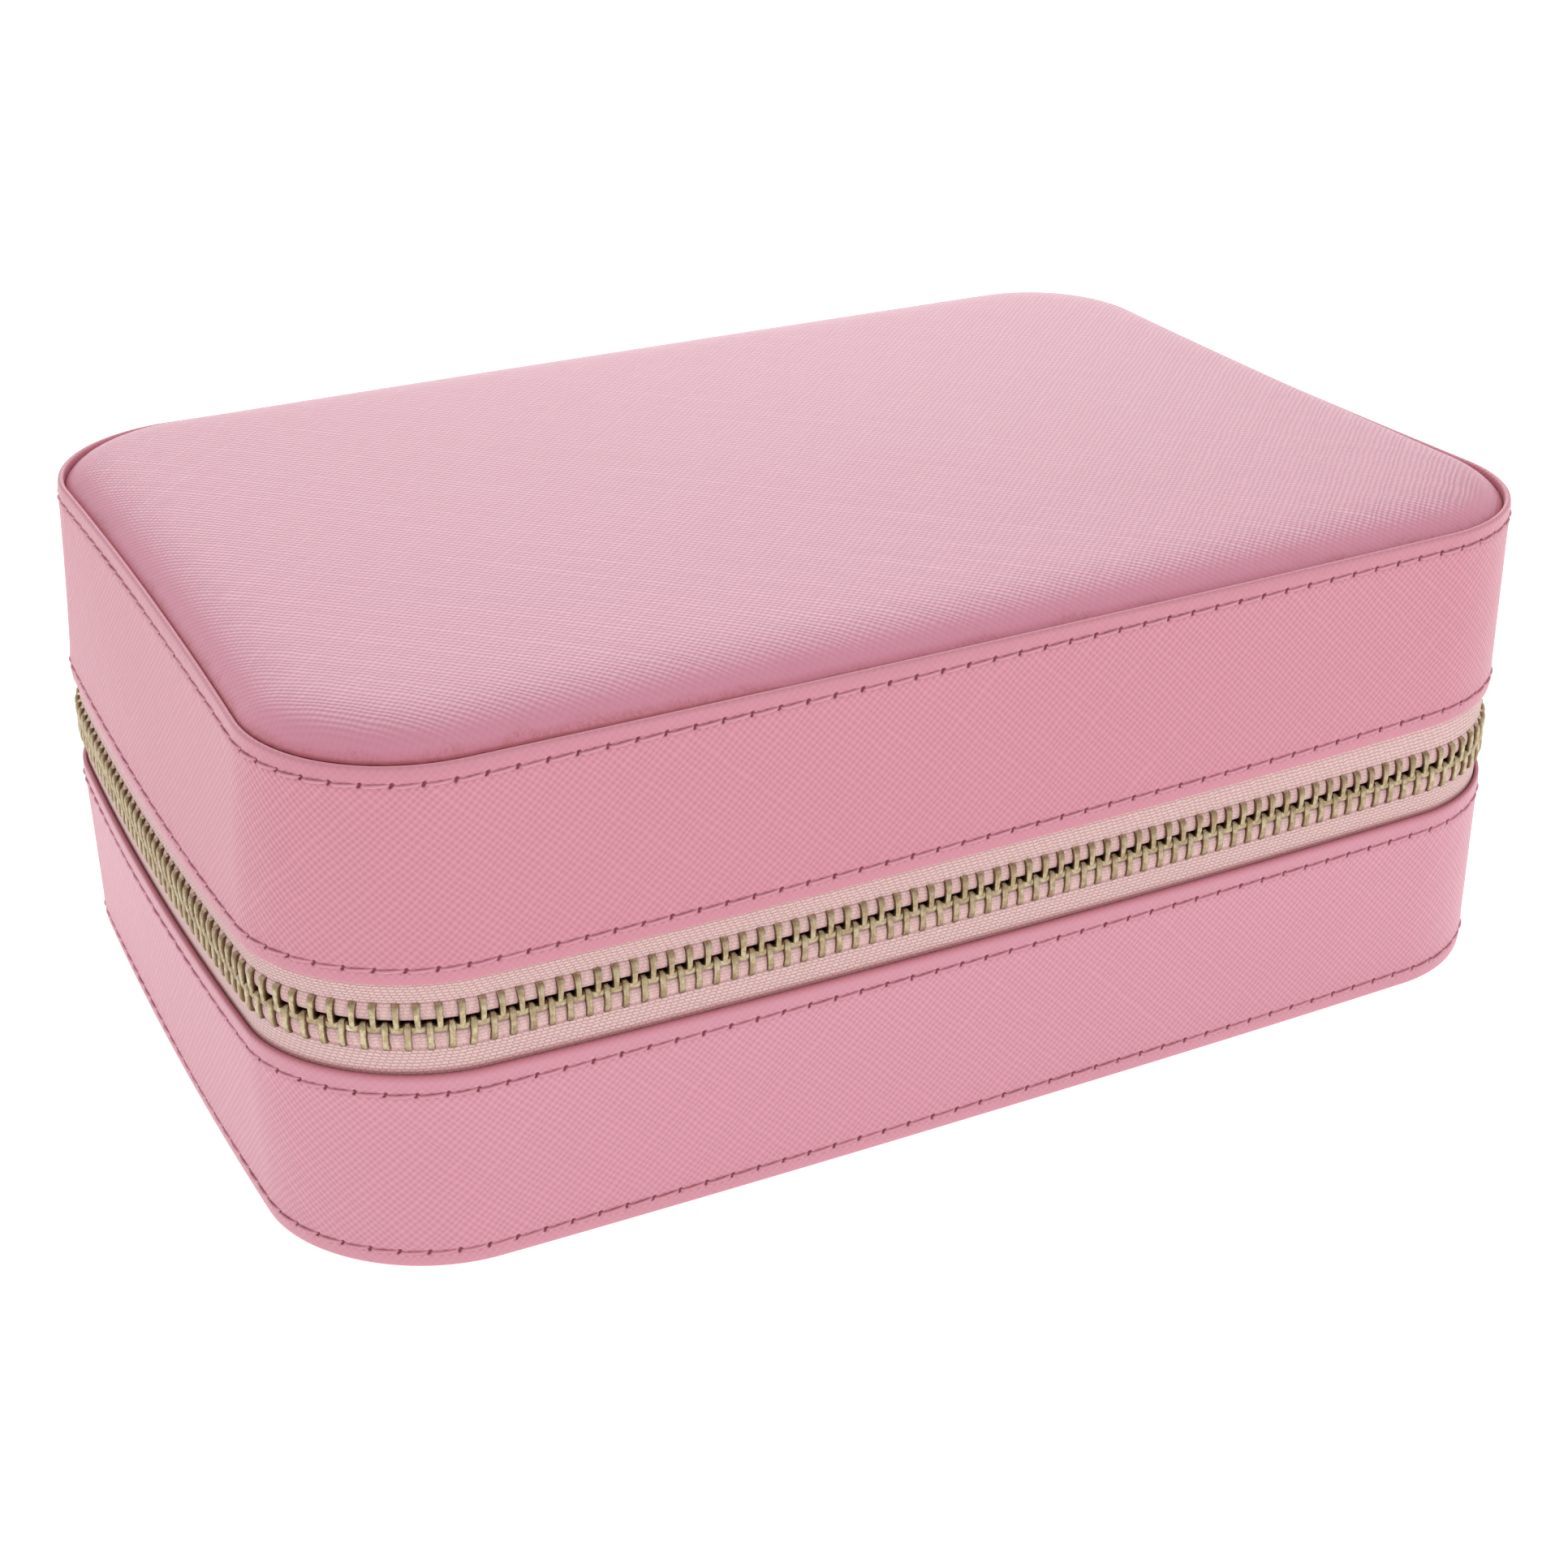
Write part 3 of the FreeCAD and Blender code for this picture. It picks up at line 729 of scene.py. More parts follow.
def panel(name, path, first_inset, profile, ripple, thick, material, bow=1.0, upward=1):
    """A padded panel over a rounded rectangle. profile(d) is its height d inside its edge."""
    insets = [0, 0.15, 0.3, 0.5, 0.75, 1.05, 1.4, 1.8, 2.3, 2.9, 3.6, 4.5, 5.6, 7.0, 8.6, 10.4, 12.4, 14.5]
    columns = np.arange(0, path["length"], 0.55)
    rings = [on_path(path, columns, first_inset + d, profile(0.0), bow)[0][:, :2] for d in insets]
    depth = [np.full(len(columns), float(d)) for d in insets]
    inmost = rings[-1]
    for share in np.linspace(1, 0, 34)[1:-1]:
        rings.append(inmost * share)
        depth.append(insets[-1] + np.hypot(*(inmost * (1 - share)).T) * 0.8)
    xy = np.array(rings)
    d = np.array(depth)
    z = profile(d) + ripple(columns[None], d, xy)
    points = np.concatenate([xy, z[..., None]], -1).transpose(1, 0, 2).reshape(-1, 3)
    rows = len(rings)
    faces, corners = grid_faces(len(columns), rows, True, False)
    v = d[:, 0]
    uv = corner_uv(np.append(columns, path["length"]), v, corners).tolist()
    for i in range(len(columns)):
        faces.append([i * rows + rows - 1, (i + 1) % len(columns) * rows + rows - 1, len(points)])
        uv.append([(0, v[-1])] * 3)
    if upward < 0:
        faces = [face[::-1] for face in faces]
        uv = [pairs[::-1] for pairs in uv]
    points = np.concatenate([points, [(0.0, 0.0, z[-1].mean())]])
    piece = build(name, points, faces, [pair for pairs in uv for pair in pairs], material)
    solid = piece.modifiers.new("thickness", "SOLIDIFY")
    solid.thickness = thick * MM
    solid.offset = -1.0
    return piece


# ---------------------------------------------------------------- shell

def make_base_shell(finish):
    lower = [(1.15, 3.2), (1.2, 1.2), (1.1, 0.5), (0.8, 0.12), (0.5, 0.0), (0.25, 0.03), (0.09, 0.15),
             (0.02, 0.4)]
    top = BASE_TOP
    upper = [(0.0, top - 0.7), (0.01, top - 0.4), (0.05, top - 0.2), (0.13, top - 0.07), (0.26, top - 0.01),
             (0.42, top - 0.03), (0.58, top - 0.12), (0.69, top - 0.32), (0.73, top - 0.6), (0.75, top - 1.2),
             (0.78, top - 4.2), (0.82, top - 14.5), (1.15, top - 16)]
    body = wall("base_leather_wall", BASE_ROWS, (0.9, top - 1.2), lower, upper, finish)
    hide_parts("base_side_cover")
    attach(body, "base")


def make_lid_shell(finish):
    low = LID_BOTTOM
    lower = [(1.15, low + 11), (0.82, low + 9.5), (0.78, low + 4.2), (0.75, low + 1.2), (0.73, low + 0.6),
             (0.69, low + 0.3), (0.58, low + 0.1), (0.42, low + 0.0), (0.26, low + 0.01), (0.13, low + 0.09),
             (0.05, low + 0.24), (0.01, low + 0.5)]
    top = LID_TOP
    upper = [(0.01, top - 0.62), (0.04, top - 0.4), (0.1, top - 0.2), (0.22, top - 0.07), (0.4, top),
             (0.6, top - 0.02), (0.76, top - 0.13), (0.86, top - 0.35), (0.9, top - 0.8), (0.92, top - 1.6),
             (1.15, top - 2.6), (1.2, top - 3.6)]
    body = wall("lid_leather_wall", LID_ROWS, (low + 0.8, top - 0.8), lower, upper, finish)
    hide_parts("lid_side_cover")
    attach(body, "lid")


def dome_height(d):
    """The padded top: it swells up steeply out of the rim's crevice and levels off."""
    swell = (DOME_TOP - DOME_EDGE) * (1 - np.exp(-np.asarray(d, float) / DOME_RUN))
    return DOME_EDGE + swell + CROWN * (1 - np.exp(-np.asarray(d, float) / CROWN_RUN))


def dome_ripple(s, d, xy):
    """Small gathers where the leather is tucked in, and a slow unevenness of the padding."""
    tuck = np.zeros(np.broadcast(s, d).shape)
    for at, wide, deep in ((258, 2.2, 0.16), (330, 1.6, 0.2), (391, 1.8, 0.22), (120, 2.5, 0.15),
                           (45, 2, 0.15), (505, 2.4, 0.18)):
        tuck -= deep * smooth_bell(s - at, wide) * smooth_bell(d - 0.9, 1.3)
    gathers = 0.035 * np.sin(s * 1.9 + 2 * np.sin(s * 0.23)) * smooth_bell(d - 0.8, 1.0)
    waves = np.sin(xy[..., 0] * 0.055 + 0.6) * np.sin(xy[..., 1] * 0.07 + 1.1)
    return tuck + gathers + 0.09 * waves * (1 - smooth_bell(d, 8.0))


def no_ripple(s, d, xy):
    """For a panel that lies evenly."""
    return 0.0


def make_top_panel(finish):
    body = panel("lid_padded_top", SHELL, RIM, dome_height, dome_ripple, 0.9, finish)
    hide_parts("lid_top_cover")
    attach(body, "lid")


def make_top_filling(finish):
    """Foam under the padded top, following it a little way inside."""
    def height(d):
        return dome_height(d) - 1.1
    body = panel("lid_top_filling", SHELL, RIM + 1.3, height, no_ripple, 0.8, finish)
    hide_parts("lid_top_pad")
    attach(body, "lid")


def make_floor_panel(finish):
    def height(d):
        return 0.02 + 0.75 * np.exp(-np.asarray(d, float) / 0.5)
    body = panel("base_underside", SHELL, 1.2, height, no_ripple, 0.6, finish, upward=-1)
    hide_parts("base_floor_cover")
    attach(body, "base")


def pad_height(d):
    """The floor cushion, rounded down at its edge."""
    return PAD_EDGE + (PAD_TOP - PAD_EDGE) * (1 - np.exp(-np.asarray(d, float) / 0.9))


def make_floor_cushion(finish):
    pad_x, pad_y, _ = reach("base_floor_pad")[1]
    path = rounded_path(pad_x, pad_y, CORNER - 4.8)
    body = panel("base_floor_cushion", path, 0.0, pad_height, no_ripple, 1.2, finish, bow=0.0)
    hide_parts("base_floor_pad")
    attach(body, "base")


def make_foam_core(side, node, z0, z1, finish):
    columns = np.arange(0, SHELL["length"], 2.0)
    inset, z = split_profile([(1.25, z1), (1.95, z1), (1.95, z0), (1.25, z0)])
    body = sweep(node + "_layer", SHELL, columns, inset, z, np.array([0, 0.7, z1 - z0, z1, 0]), finish)
    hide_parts(node)
    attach(body, side)


# ---------------------------------------------------------------- zip

def parting(y):
    """How far each row stands back from the chain's centre line at y, on the right side."""
    return PART_SHIFT * np.clip((PART_NONE - np.abs(y)) / (PART_NONE - PART_FULL), 0, 1)


def make_tape(side, body, node, finish):
    """One tape: a rounded cord edge under the teeth, a crease, then the flat weave."""
    columns = np.arange(TAPE_END_X, SHELL["length"] - TAPE_END_X, 0.5)
    away = [TAPE_HALF_GAP, 0.85, 1.05, 1.4, 1.9, 2.4, 2.75, 2.95, 3.15, 3.6, 4.4, 5.4, 6.4, 8.0, TAPE_FAR]
    face = [1.05, 0.90, 0.76, 0.67, 0.64, 0.68, 0.78, 0.88, 0.80, 0.76, 0.76, 0.77, 0.79, 0.82, 0.85]
    inner = [(1.45, a) for a in (TAPE_FAR, 8.0, 4.4)] + [(1.62, 1.9), (1.5, 1.05), (1.25, TAPE_HALF_GAP)]
    profile = list(zip(face, away)) + inner
    if side < 0:
        profile = profile[::-1]
    inset, away = split_profile(profile)
    points, _ = on_path(SHELL, columns, 0, ZIP_Z)
    pull = np.where(points[:, 0] > X_HALF - CORNER, parting(points[:, 1]), 0.0)[:, None]
    moved = away + pull * np.clip((6.0 - away) / 5.0, 0, 1)
    v = ZIP_Z + side * np.append(away[0], away[0, 0])
    tape = sweep(node + "_weave", SHELL, columns, inset, ZIP_Z + side * moved, v, finish, closed_round=False)
    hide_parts(node)
    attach(tape, body)


def tooth_shape(upper):
    """One zip tooth as (along, away, out) points, faces and, for each point, how far it is out of the painted
    shade on the sides: 0 where it sits on the tape, 1 on the outer face.

    away runs from the chain's centre line to the tooth's foot, out from the tape's middle.
    """
    if upper:
        legs = [(-0.60, 0.32, 0.62), (-0.52, 0.38, 0.80), (-0.2, 0.38, 0.92), (0.35, 0.35, 1.0),
                (1.0, 0.36, 1.08), (1.7, 0.38, 1.12), (2.3, 0.42, 1.10), (2.75, 0.45, 1.0),
                (3.0, 0.46, 0.82), (3.13, 0.45, 0.55), (3.16, 0.42, 0.3)]
    else:
        legs = [(-0.64, 0.26, 0.62), (-0.56, 0.37, 0.84), (-0.3, 0.42, 1.0), (0.2, 0.42, 1.06),
                (0.9, 0.36, 1.11), (1.6, 0.37, 1.12), (2.2, 0.41, 1.08), (2.65, 0.43, 0.98),
                (2.95, 0.38, 0.8), (3.08, 0.28, 0.55), (3.12, 0.2, 0.3)]
    parts = []
    for face in (1, -1):
        rings = []
        for away, half, high in legs:
            low = 0.0 if away < 0.7 else 0.2
            c = min(0.14, half * 0.4)
            ring = [(-half, low), (-half, high - c), (-half + c * 0.35, high - c * 0.3), (-half + c, high),
                    (half - c, high), (half - c * 0.35, high - c * 0.3), (half, high - c), (half, low)]
            rings.append(np.array([(a, away, face * n) for a, n in ring])[::(-1 if face > 0 else 1)])
        points, faces = loft(rings)
        parts.append((points, faces, np.tile([0, 0.72, 0.92, 1, 1, 0.92, 0.72, 0], len(legs))))
    if upper:
        rings = []
        bar = [(0.30, -0.60, 0.24, 0.90), (0.6, -0.60, 0.32, 0.88), (0.82, -0.56, 0.46, 0.82),
               (1.0, -0.46, 0.48, 0.68), (1.08, -0.30, 0.34, 0.50)]
        for along, low, high, out in [(-a, *rest) for a, *rest in bar[::-1]] + bar:
            mid = (low + high) / 2
            ring = [(low, -out * 0.8), (low, out * 0.75), (low + 0.12, out), (mid, out * 1.04),
                    (high - 0.1, out * 0.96), (high, out * 0.7), (high, -out * 0.8), (mid, -out)]
            rings.append(np.array([(along, b, n) for b, n in ring]))
        points, faces = loft(rings)
        parts.append((points, faces, np.clip(points[:, 2] / 0.8, 0, 1)))
    points, faces, unshaded = [], [], []
    for part_points, part_faces, part_unshaded in parts:
        start = sum(len(p) for p in points)
        points.append(part_points)
        faces += [[start + k for k in face] for face in part_faces]
        unshaded.append(part_unshaded)
    return np.concatenate(points), faces, np.concatenate(unshaded)


def make_teeth(side, body, node, finish):
    """A row of teeth spaced along the chain, each a little out of true."""
    shape, faces, unshaded = tooth_shape(side > 0)
    radius = SHELL["radius"]
    lengths = np.diff(SHELL["knots"])
    lengths[1::2] *= (radius - ZIP_INSET) / radius
    chain = np.concatenate([[0], np.cumsum(lengths)])
    offset = PITCH / 2 if side > 0 else PITCH
    count = int((chain[-1] - 2 * ZIP_END_X - offset) / PITCH)
    along = ZIP_END_X + offset + np.arange(count) * PITCH
    s = np.interp(along, chain, SHELL["knots"])
    points, all_faces, all_uv = [], [], []
    for k, place in enumerate(s):
        middle, angle = on_path(SHELL, place, ROW_INSET, ZIP_Z)
        out = np.array([math.cos(angle), math.sin(angle), 0])
        ahead = np.array([-math.sin(angle), math.cos(angle), 0])
        shift = parting(middle[1]) if middle[0] > X_HALF - CORNER else 0.0
        tilt = scatter.normal(0, 0.022)
        along_row = shape[:, 0] + tilt * shape[:, 1] + scatter.normal(0, 0.02)
        away = shape[:, 1] + scatter.normal(0, 0.02)
        moved = (middle + along_row[:, None] * ahead + shape[:, 2:3] * out
                 + np.outer(side * (away + shift), (0, 0, 1)))
        start = k * len(shape)
        flip = slice(None, None, -1 if side > 0 else 1)
        all_faces += [[start + n for n in face][flip] for face in faces]
        # u of the row's layer carries how far each point is out of the painted shade on the teeth's sides.
        all_uv += [(unshaded[n], k * 0.37 % 1) for face in faces for n in face[flip]]
        points.append(moved)
    row = build(node + "_row", np.concatenate(points), all_faces, all_uv, finish, sharp=50)
    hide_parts(node)
    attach(row, body)


# ---------------------------------------------------------------- sliders and pulls

def arc(cx, cy, radius, start, end, steps):
    turns = np.radians(np.linspace(start, end, steps))
    return [(cx + radius * math.cos(a), cy + radius * math.sin(a)) for a in turns]


def circle(cx, cy, radius, step):
    return arc(cx, cy, radius, 0, 360 - step, 360 // step)


def plate(shape, outline, low, high, bevel, axis="n", hole=None):
    """Adds a bevelled plate to a bmesh. outline is in (t, z), or (n, z) for axis t."""
    work = bmesh.new()

    def corner(a, b, c):
        return Vector((a, c, b)) if axis == "n" else Vector((c, a, b))
    rings = [outline] + ([hole] if hole else [])
    edges = []
    for ring in rings:
        verts = [work.verts.new(corner(a, b, low)) for a, b in ring]
        edges += [work.edges.new((verts[k], verts[(k + 1) % len(verts)])) for k in range(len(verts))]
    bmesh.ops.triangle_fill(work, edges=edges, use_beauty=True)
    bmesh.ops.dissolve_limit(work, angle_limit=0.01, verts=work.verts, edges=work.edges)
    lifted = bmesh.ops.extrude_face_region(work, geom=work.faces[:])
    up = [v for v in lifted["geom"] if isinstance(v, bmesh.types.BMVert)]
    bmesh.ops.translate(work, verts=up, vec=corner(0, 0, high - low))
    bmesh.ops.recalc_face_normals(work, faces=work.faces)
    flat = Vector(corner(0, 0, 1))
    rim = [e for e in work.edges if len(e.link_faces) == 2
           and abs(e.link_faces[0].normal.dot(flat)) + abs(e.link_faces[1].normal.dot(flat)) > 0.9
           and abs(e.link_faces[0].normal.dot(e.link_faces[1].normal)) < 0.5]
    bmesh.ops.bevel(work, geom=rim, offset=bevel, segments=3, profile=0.6, affect="EDGES",
                    clamp_overlap=True)
    part = bpy.data.meshes.new("part")
    work.to_mesh(part)
    work.free()
    shape.from_mesh(part)
    bpy.data.meshes.remove(part)


def tube_between(shape, route, radius):
    """Adds a round bar that follows route, points in (t, n, z)."""
    route = np.array(route, float)
    ahead = np.gradient(route, axis=0)
    ahead /= np.linalg.norm(ahead, axis=1)[:, None]
    side = np.cross(ahead, (0, 0, 1.0))
    side /= np.linalg.norm(side, axis=1)[:, None]
    up = np.cross(side, ahead)
    turns = np.arange(14) * 2 * math.pi / 14
    rings = [p + radius * (np.cos(turns)[:, None] * a + np.sin(turns)[:, None] * b)
             for p, a, b in zip(route, side, up)]
    points, faces = loft(rings)
    verts = [shape.verts.new(p) for p in points]
    for face in faces:
        shape.faces.new([verts[k] for k in face])


def finish_metal(shape, end, material, node, body):
    """Places a piece laid out in (t back from the nose, n outward, z) on the right side."""
    bmesh.ops.recalc_face_normals(shape, faces=shape.faces)
    for vert in shape.verts:
        t, n, z = vert.co
        vert.co = Vector(((X_HALF + n) * MM, end * (SLIDER_NOSE_GAP + t) * MM, (ZIP_Z + z) * MM))
    bmesh.ops.recalc_face_normals(shape, faces=shape.faces)
    mesh = bpy.data.meshes.new(node + "_cast")
    shape.to_mesh(mesh)
    shape.free()
    mesh.polygons.foreach_set("use_smooth", [True] * len(mesh.polygons))
    mesh.set_sharp_from_angle(angle=math.radians(38))
    mesh.materials.append(material)
    piece = bpy.data.objects.new(node + "_cast", mesh)
    bpy.context.scene.collection.objects.link(piece)
    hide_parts(node)
    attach(piece, body)


def slider_outline(narrow, nose=0.0):
    """The slider's shield shape, from a broad rounded nose to a narrower tail."""
    half, tail, shoulder = 5.55 - narrow, 4.2 - narrow, 5.0
    front = arc(nose + 1.6, half - 1.6, 1.6, 180, 90, 7)
    back = arc(SLIDER_LENGTH - 1.2 - narrow / 2, tail - 1.2, 1.2, 75, 0, 6)
    upper = front + [(shoulder, half), ((shoulder + SLIDER_LENGTH) / 2, (half + tail) / 2 + 0.12)] + back
    return upper + [(t, -z) for t, z in upper[::-1]]


def make_slider(end, body, node, finish):
    shape = bmesh.new()
    plate(shape, slider_outline(0.0), 0.25, 1.25, 0.28)
    plate(shape, slider_outline(1.3, 1.3), 1.2, 1.42, 0.12)
    plate(shape, slider_outline(0.0), -4.35, -3.35, 0.28)
    for side in (1, -1):
        rail = [(0.9, side * 5.5), (5.0, side * 5.5), (11.2, side * 4.15), (11.2, side * 3.4),
                (5.0, side * 4.75), (0.9, side * 4.75)]
        for low, high in ((-0.55, 0.35), (-3.45, -2.35)):
            plate(shape, rail if side > 0 else rail[::-1], low, high, 0.14)
    plate(shape, arc(1.8, 0, 0.65, 0, 360, 17)[:-1], -3.4, 0.3, 0.05)
    t0, t1 = BAIL_SPAN[0] - 0.45, BAIL_SPAN[1] + 0.45
    rise = [(t0, n, 0) for n in (1.0, 1.6, 2.2)]
    over = [(t0 + 0.8 - 0.8 * math.cos(a), 2.2 + 0.8 * math.sin(a), 0)
            for a in np.radians((20, 45, 70, 90))]
    cross = [(t, BAIL_OUT, 0) for t in np.linspace(t0 + 1.6, t1 - 1.6, 5)]
    half_route = rise + over
    route = half_route + cross + [(t0 + t1 - t, n, z) for t, n, z in half_route[::-1]]
    tube_between(shape, route, 0.62)
    for t in (t0, t1):
        plate(shape, circle(t, 0, 0.95, 24), 1.15, 1.75, 0.2)
    finish_metal(shape, end, finish, node, body)


def make_pull(end, body, node, finish):
    """A cast pull: an eye round the bail, a waisted shank and a drop-shaped window tab."""
    shape = bmesh.new()
    mid = sum(BAIL_SPAN) / 2
    plate(shape, circle(BAIL_OUT, 0, 1.6, 15), mid - 0.8, mid + 0.8, 0.22, axis="t",
          hole=circle(BAIL_OUT, 0, 0.74, 15))
    plate(shape, [(mid - 0.8, -1.25), (mid - 0.75, -4.4), (mid + 0.75, -4.4), (mid + 0.8, -1.25)][::-1],
          BAIL_OUT - 0.62, BAIL_OUT + 0.62, 0.2)
    end_z = -(PULL_LENGTH - 3.1)
    right = [(1.0, -3.4), (1.75, -4.0), (1.95, -6.0), (2.25, -10.0), (2.7, -15.0)]
    bottom = arc(0, end_z, 3.1, 8, -188, 21)
    tab = [(mid + x, z) for x, z in right + bottom + [(-x, z) for x, z in right[::-1]]]
    plate(shape, tab, BAIL_OUT - 0.55, BAIL_OUT + 0.55, 0.22, hole=circle(mid, end_z, 1.5, 18))
    border = [(mid + (x - mid) * 0.78, -3.4 + (z + 3.4) * 0.80 - 0.9) for x, z in tab]
    flute = [(t, z) for t, z in border if z > end_z + 3.2]
    plate(shape, flute, BAIL_OUT - 0.7, BAIL_OUT + 0.7, 0.18)
    finish_metal(shape, end, finish, node, body)


# ---------------------------------------------------------------- hinge

def strip_piece(name, inset, z0, z1, half, belly, finish, node):
    """A fabric or leather strip across the hinge, slightly slack."""
    low = SHELL["length"] - half
    columns = np.arange(low, SHELL["length"] + half + 0.01, 1.0)
    share = np.linspace(0, 1, 22)
    z_out = z0 + (z1 - z0) * share
    slack = belly * np.sin(math.pi * share)
    ins = np.concatenate([inset[0] + slack, (inset[1] + slack)[::-1]])
    z = np.concatenate([z_out, z_out[::-1]])
    v = np.append(z, z[0])
    piece = sweep(name, SHELL, columns, ins[None], z[None], v, finish, closed_round=False)
    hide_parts(node)
    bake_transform(piece)


# ---------------------------------------------------------------- inside

def make_wall_lining(side, name, node, profile, finish):
    """Lining of a shell's wall, turned over the board's edge towards the zip tape.

    profile is (inset, z, share of the wall's bow that this point follows).
    """
    columns = np.arange(0, SHELL["length"], 1.0)
    inset, z, bow = split_profile(profile)
    piece = sweep(name, SHELL, columns, inset, z, np.append(run_lengths(inset, z), 0.0), finish, bow=bow)
    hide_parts(node)
    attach(piece, side)


def make_divider(name, node, start, stop, low, high, half, finish):
    """A padded divider: a soft rounded top, sides that swell between its seams."""
    start = np.array(start, float)
    stop = np.array(stop, float)
    length = np.linalg.norm(stop - start)
    ahead = (stop - start) / length
    across = np.array([-ahead[1], ahead[0]])
    inner = np.arange(2, length - 1.5, 1.5)
    along = np.concatenate([[0, 0.25, 0.8], inner, [length - 0.8, length - 0.25, length]])
    rise = np.linspace(0, 1, 16)
    z_side = low + (high - half - low) * rise
    turn = np.radians(np.linspace(0, 180, 11))[1:-1]
    section = [(half, z) for z in z_side]
    section += [(half * math.cos(a), high - half + half * math.sin(a)) for a in turn]
    section = np.array(section + [(-half, z) for z in z_side[::-1]])
    seam_z = high - half - 1.4
    pinch = 1 - 0.16 * smooth_bell(section[:, 1] - seam_z, 0.45)
    points = []
    for a in along:
        ends = min(a, length - a)
        squeeze = 0.82 + 0.18 * min(1, ends / 1.2) ** 0.5
        swell = 0.93 + 0.05 * math.sin(a * 0.21) ** 2
        width = section[:, 0] * pinch * squeeze * swell
        x, y = start + ahead * a
        points.append(np.column_stack([x + across[0] * width, y + across[1] * width, section[:, 1]]))
    mesh_points, faces = loft(points)
    piece = build(name, mesh_points, faces, None, finish, sharp=60)
    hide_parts(node)
    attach(piece, "base")


def make_mirror_frame(finish, thread):
    """A leather frame round the mirror, with rounded edges and a stitched border."""
    low, high = reach("mirror_frame")
    path = rounded_path(high[0], high[1], 12.0)
    columns = np.arange(0, path["length"], 0.8)
    bottom, top = low[2], high[2]
    profile = [(0.0, top), (0.0, bottom + 0.7), (0.15, bottom + 0.25), (0.6, bottom), (1.4, bottom),
               (1.75, bottom + 0.1), (2.1, bottom), (4.5, bottom - 0.05), (7.5, bottom),
               (8.5, bottom + 0.08), (8.9, bottom + 0.35), (9.0, bottom + 0.8), (6.0, bottom + 0.83),
               (5.9, top)]
    inset, z = split_profile(profile)
    v = np.append(run_lengths(inset, z)[::-1], 0.0)
    border = sweep("mirror_leather_frame", path, columns, inset[:, ::-1], z[:, ::-1], v, finish, bow=0.0)
    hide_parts("mirror_frame")
    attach(border, "lid")
    pitch = path["length"] / MIRROR_STITCHES
    points, faces = [], []
    for k in range(MIRROR_STITCHES):
        s = (k + np.array([0.08, 0.2, 0.5, 0.8, 0.92])) * pitch
        centre, angle = on_path(path, s, 1.75, bottom + np.array([0.2, 0.02, -0.04, 0.02, 0.2]), 0.0)
        strand, strand_faces = loft(strand_rings(centre, angle, 0.17))
        start = len(points) * len(strand)
        points.append(strand)
        faces += [[start + n for n in face] for face in strand_faces]
    seam = build("mirror_frame_stitching", np.concatenate(points), faces, None, thread)
    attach(seam, "lid")


# ---------------------------------------------------------------- the case

make_camera()
make_studio()

FLOOR_HALF = 3000
FLOOR_Z = -0.3
floor_corners = [(x * FLOOR_HALF, y * FLOOR_HALF, FLOOR_Z) for x, y in ((-1, -1), (1, -1), (1, 1), (-1, 1))]
floor = build("studio_floor", floor_corners, [[0, 1, 2, 3]], None, floor_finish("studio_floor"))

base_leather = leather("saffiano_base", PINK_BASE_LIT, "skin", stitched=BASE_ROWS,
                       bare=((-6, BASE_ROWS[0] - 0.9), (BASE_ROWS[1] + 0.5, BASE_TOP + 8)),
                       lip_shade=(BASE_TOP - 1.2, BASE_TOP + 0.1))
lid_leather = leather("saffiano_lid", PINK, "skin", stitched=LID_ROWS,
                      bare=((LID_BOTTOM - 9, LID_ROWS[0] - 0.9), (LID_ROWS[1] + 0.35, LID_TOP + 6)))
top_leather = leather("saffiano_top", PINK_TOP_DIMMED, "flat", major=-1, crevice=True, depth=0.10, gloss=0.41,
                      level=0.50)
under_leather = leather("saffiano_under", PINK, "flat")
frame_leather = leather("saffiano_frame", PINK, "flat")
strip_leather = leather("saffiano_strip", PINK, "skin")
tape_weave = woven("zip_tape_weave", TAPE_PINK)
sewing_thread = thread_finish("pink_thread", THREAD_PINK)
row_brass = brass("antique_brass_teeth")
cast_brass = brass("antique_brass_cast", cast=True)
lining_suede = suede("blush_suede", LINING_PINK)
board_paper = mottled("greyboard", BOARD_GREY, 0.8)
foam_cells = mottled("white_foam", FOAM_WHITE, 2.2)
mirror_silver = glass_finish("mirror_silver")

make_base_shell(base_leather)
make_lid_shell(lid_leather)
make_top_panel(top_leather)
make_top_filling(foam_cells)
make_floor_panel(under_leather)
for body, rows in (("base", BASE_ROWS), ("lid", LID_ROWS)):
    strand = threads(body + "_stitching", rows, sewing_thread)
    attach(strand, body)

make_foam_core("base", "base_wall_foam", 1.05, ZIP_Z - TAPE_FAR - 0.05, foam_cells)
make_foam_core("lid", "lid_wall_foam", ZIP_Z + TAPE_FAR + 0.05, reach("lid_wall_foam")[1][2], foam_cells)

make_tape(-1, "base", "zip_tape_base", tape_weave)
make_tape(1, "lid", "zip_tape_lid", tape_weave)
make_teeth(-1, "base", "zip_teeth_base", row_brass)
make_teeth(1, "lid", "zip_teeth_lid", row_brass)
for end, name in ((-1, "front"), (1, "rear")):
    make_slider(end, name + "_slider", "slider_" + name, cast_brass)
    make_pull(end, name + "_pull", "pull_" + name, cast_brass)

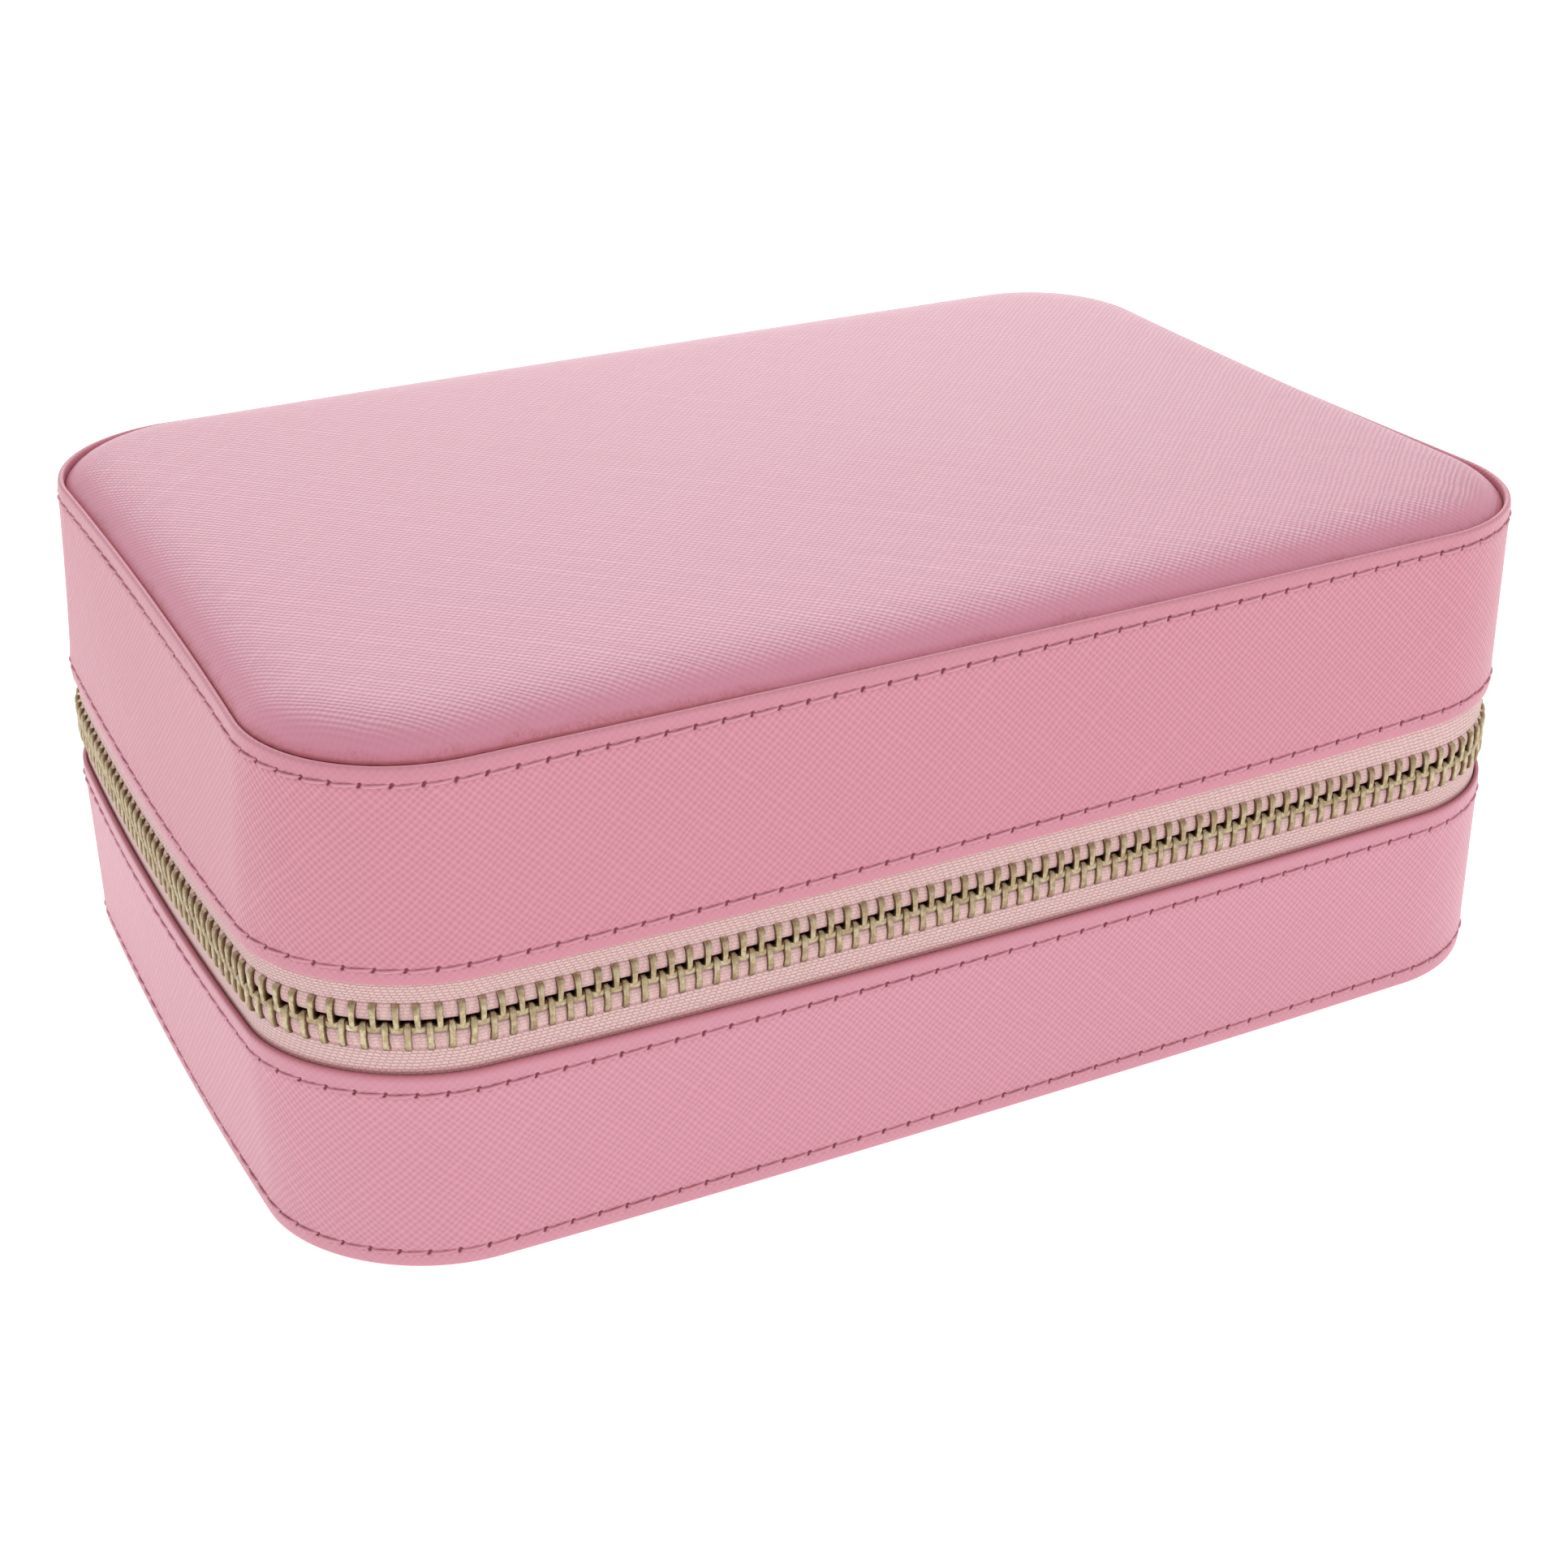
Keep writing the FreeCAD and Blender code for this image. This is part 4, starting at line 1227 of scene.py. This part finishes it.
strip_piece("hinge_leather_strip", (0.1, 1.1), BASE_TOP + 0.05, LID_BOTTOM - 0.05, HINGE_HALF, 0.25,
            strip_leather, "hinge_strip")
strip_piece("hinge_fabric_strip", (4.05, 4.75), BASE_TOP - 0.15, LID_BOTTOM + 0.15, HINGE_HALF, -0.2,
            lining_suede, "hinge_lining")

make_wall_lining("base", "base_wall_suede", "base_wall_lining", [
    (4.05, 3.15, 0), (4.75, 3.15, 0), (4.75, 25.6, 0), (4.7, 26.2, 0), (4.45, 26.65, 0), (3.9, 26.82, 0.2),
    (3.0, 26.84, 0.5), (2.1, 26.7, 0.9), (1.6, 26.3, 1), (1.5, 25.4, 1), (1.6, 25.4, 1), (1.8, 26.2, 1),
    (2.6, 26.62, 0.8), (3.9, 26.64, 0.2), (4.05, 26.3, 0)][::-1], lining_suede)
lid_ceiling = reach("lid_wall_lining")[1][2]
make_wall_lining("lid", "lid_wall_suede", "lid_wall_lining", [
    (4.05, lid_ceiling, 0), (4.75, lid_ceiling, 0), (4.75, 40.9, 0), (4.7, 40.3, 0), (4.45, 39.85, 0),
    (3.9, 39.68, 0.2), (3.0, 39.66, 0.5), (2.1, 39.8, 0.9), (1.6, 40.2, 1), (1.5, 41.1, 1), (1.6, 41.1, 1),
    (1.8, 40.3, 1), (2.6, 39.88, 0.8), (3.9, 39.86, 0.2), (4.05, 40.2, 0)], lining_suede)
make_floor_cushion(lining_suede)

long_low, long_high = reach("long_divider")
long_y = (long_low[1] + long_high[1]) / 2
half_thick = (long_high[1] - long_low[1]) / 2
make_divider("long_divider_pad", "long_divider", (long_low[0], long_y), (long_high[0], long_y),
             long_low[2], long_high[2], half_thick, lining_suede)
for name in ("cross_divider_left", "cross_divider_right"):
    low, high = reach(name)
    x = (low[0] + high[0]) / 2
    make_divider(name + "_pad", name, (x, low[1]), (x, high[1]), low[2], high[2], half_thick, lining_suede)

make_mirror_frame(frame_leather, sewing_thread)
for node, material in (("mirror", mirror_silver), ("lid_top_lining", lining_suede),
                       ("base_floor_board", board_paper), ("base_wall_board", board_paper),
                       ("lid_wall_board", board_paper), ("lid_top_board", board_paper)):
    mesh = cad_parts[node].data
    mesh.materials.clear()
    mesh.materials.append(material)
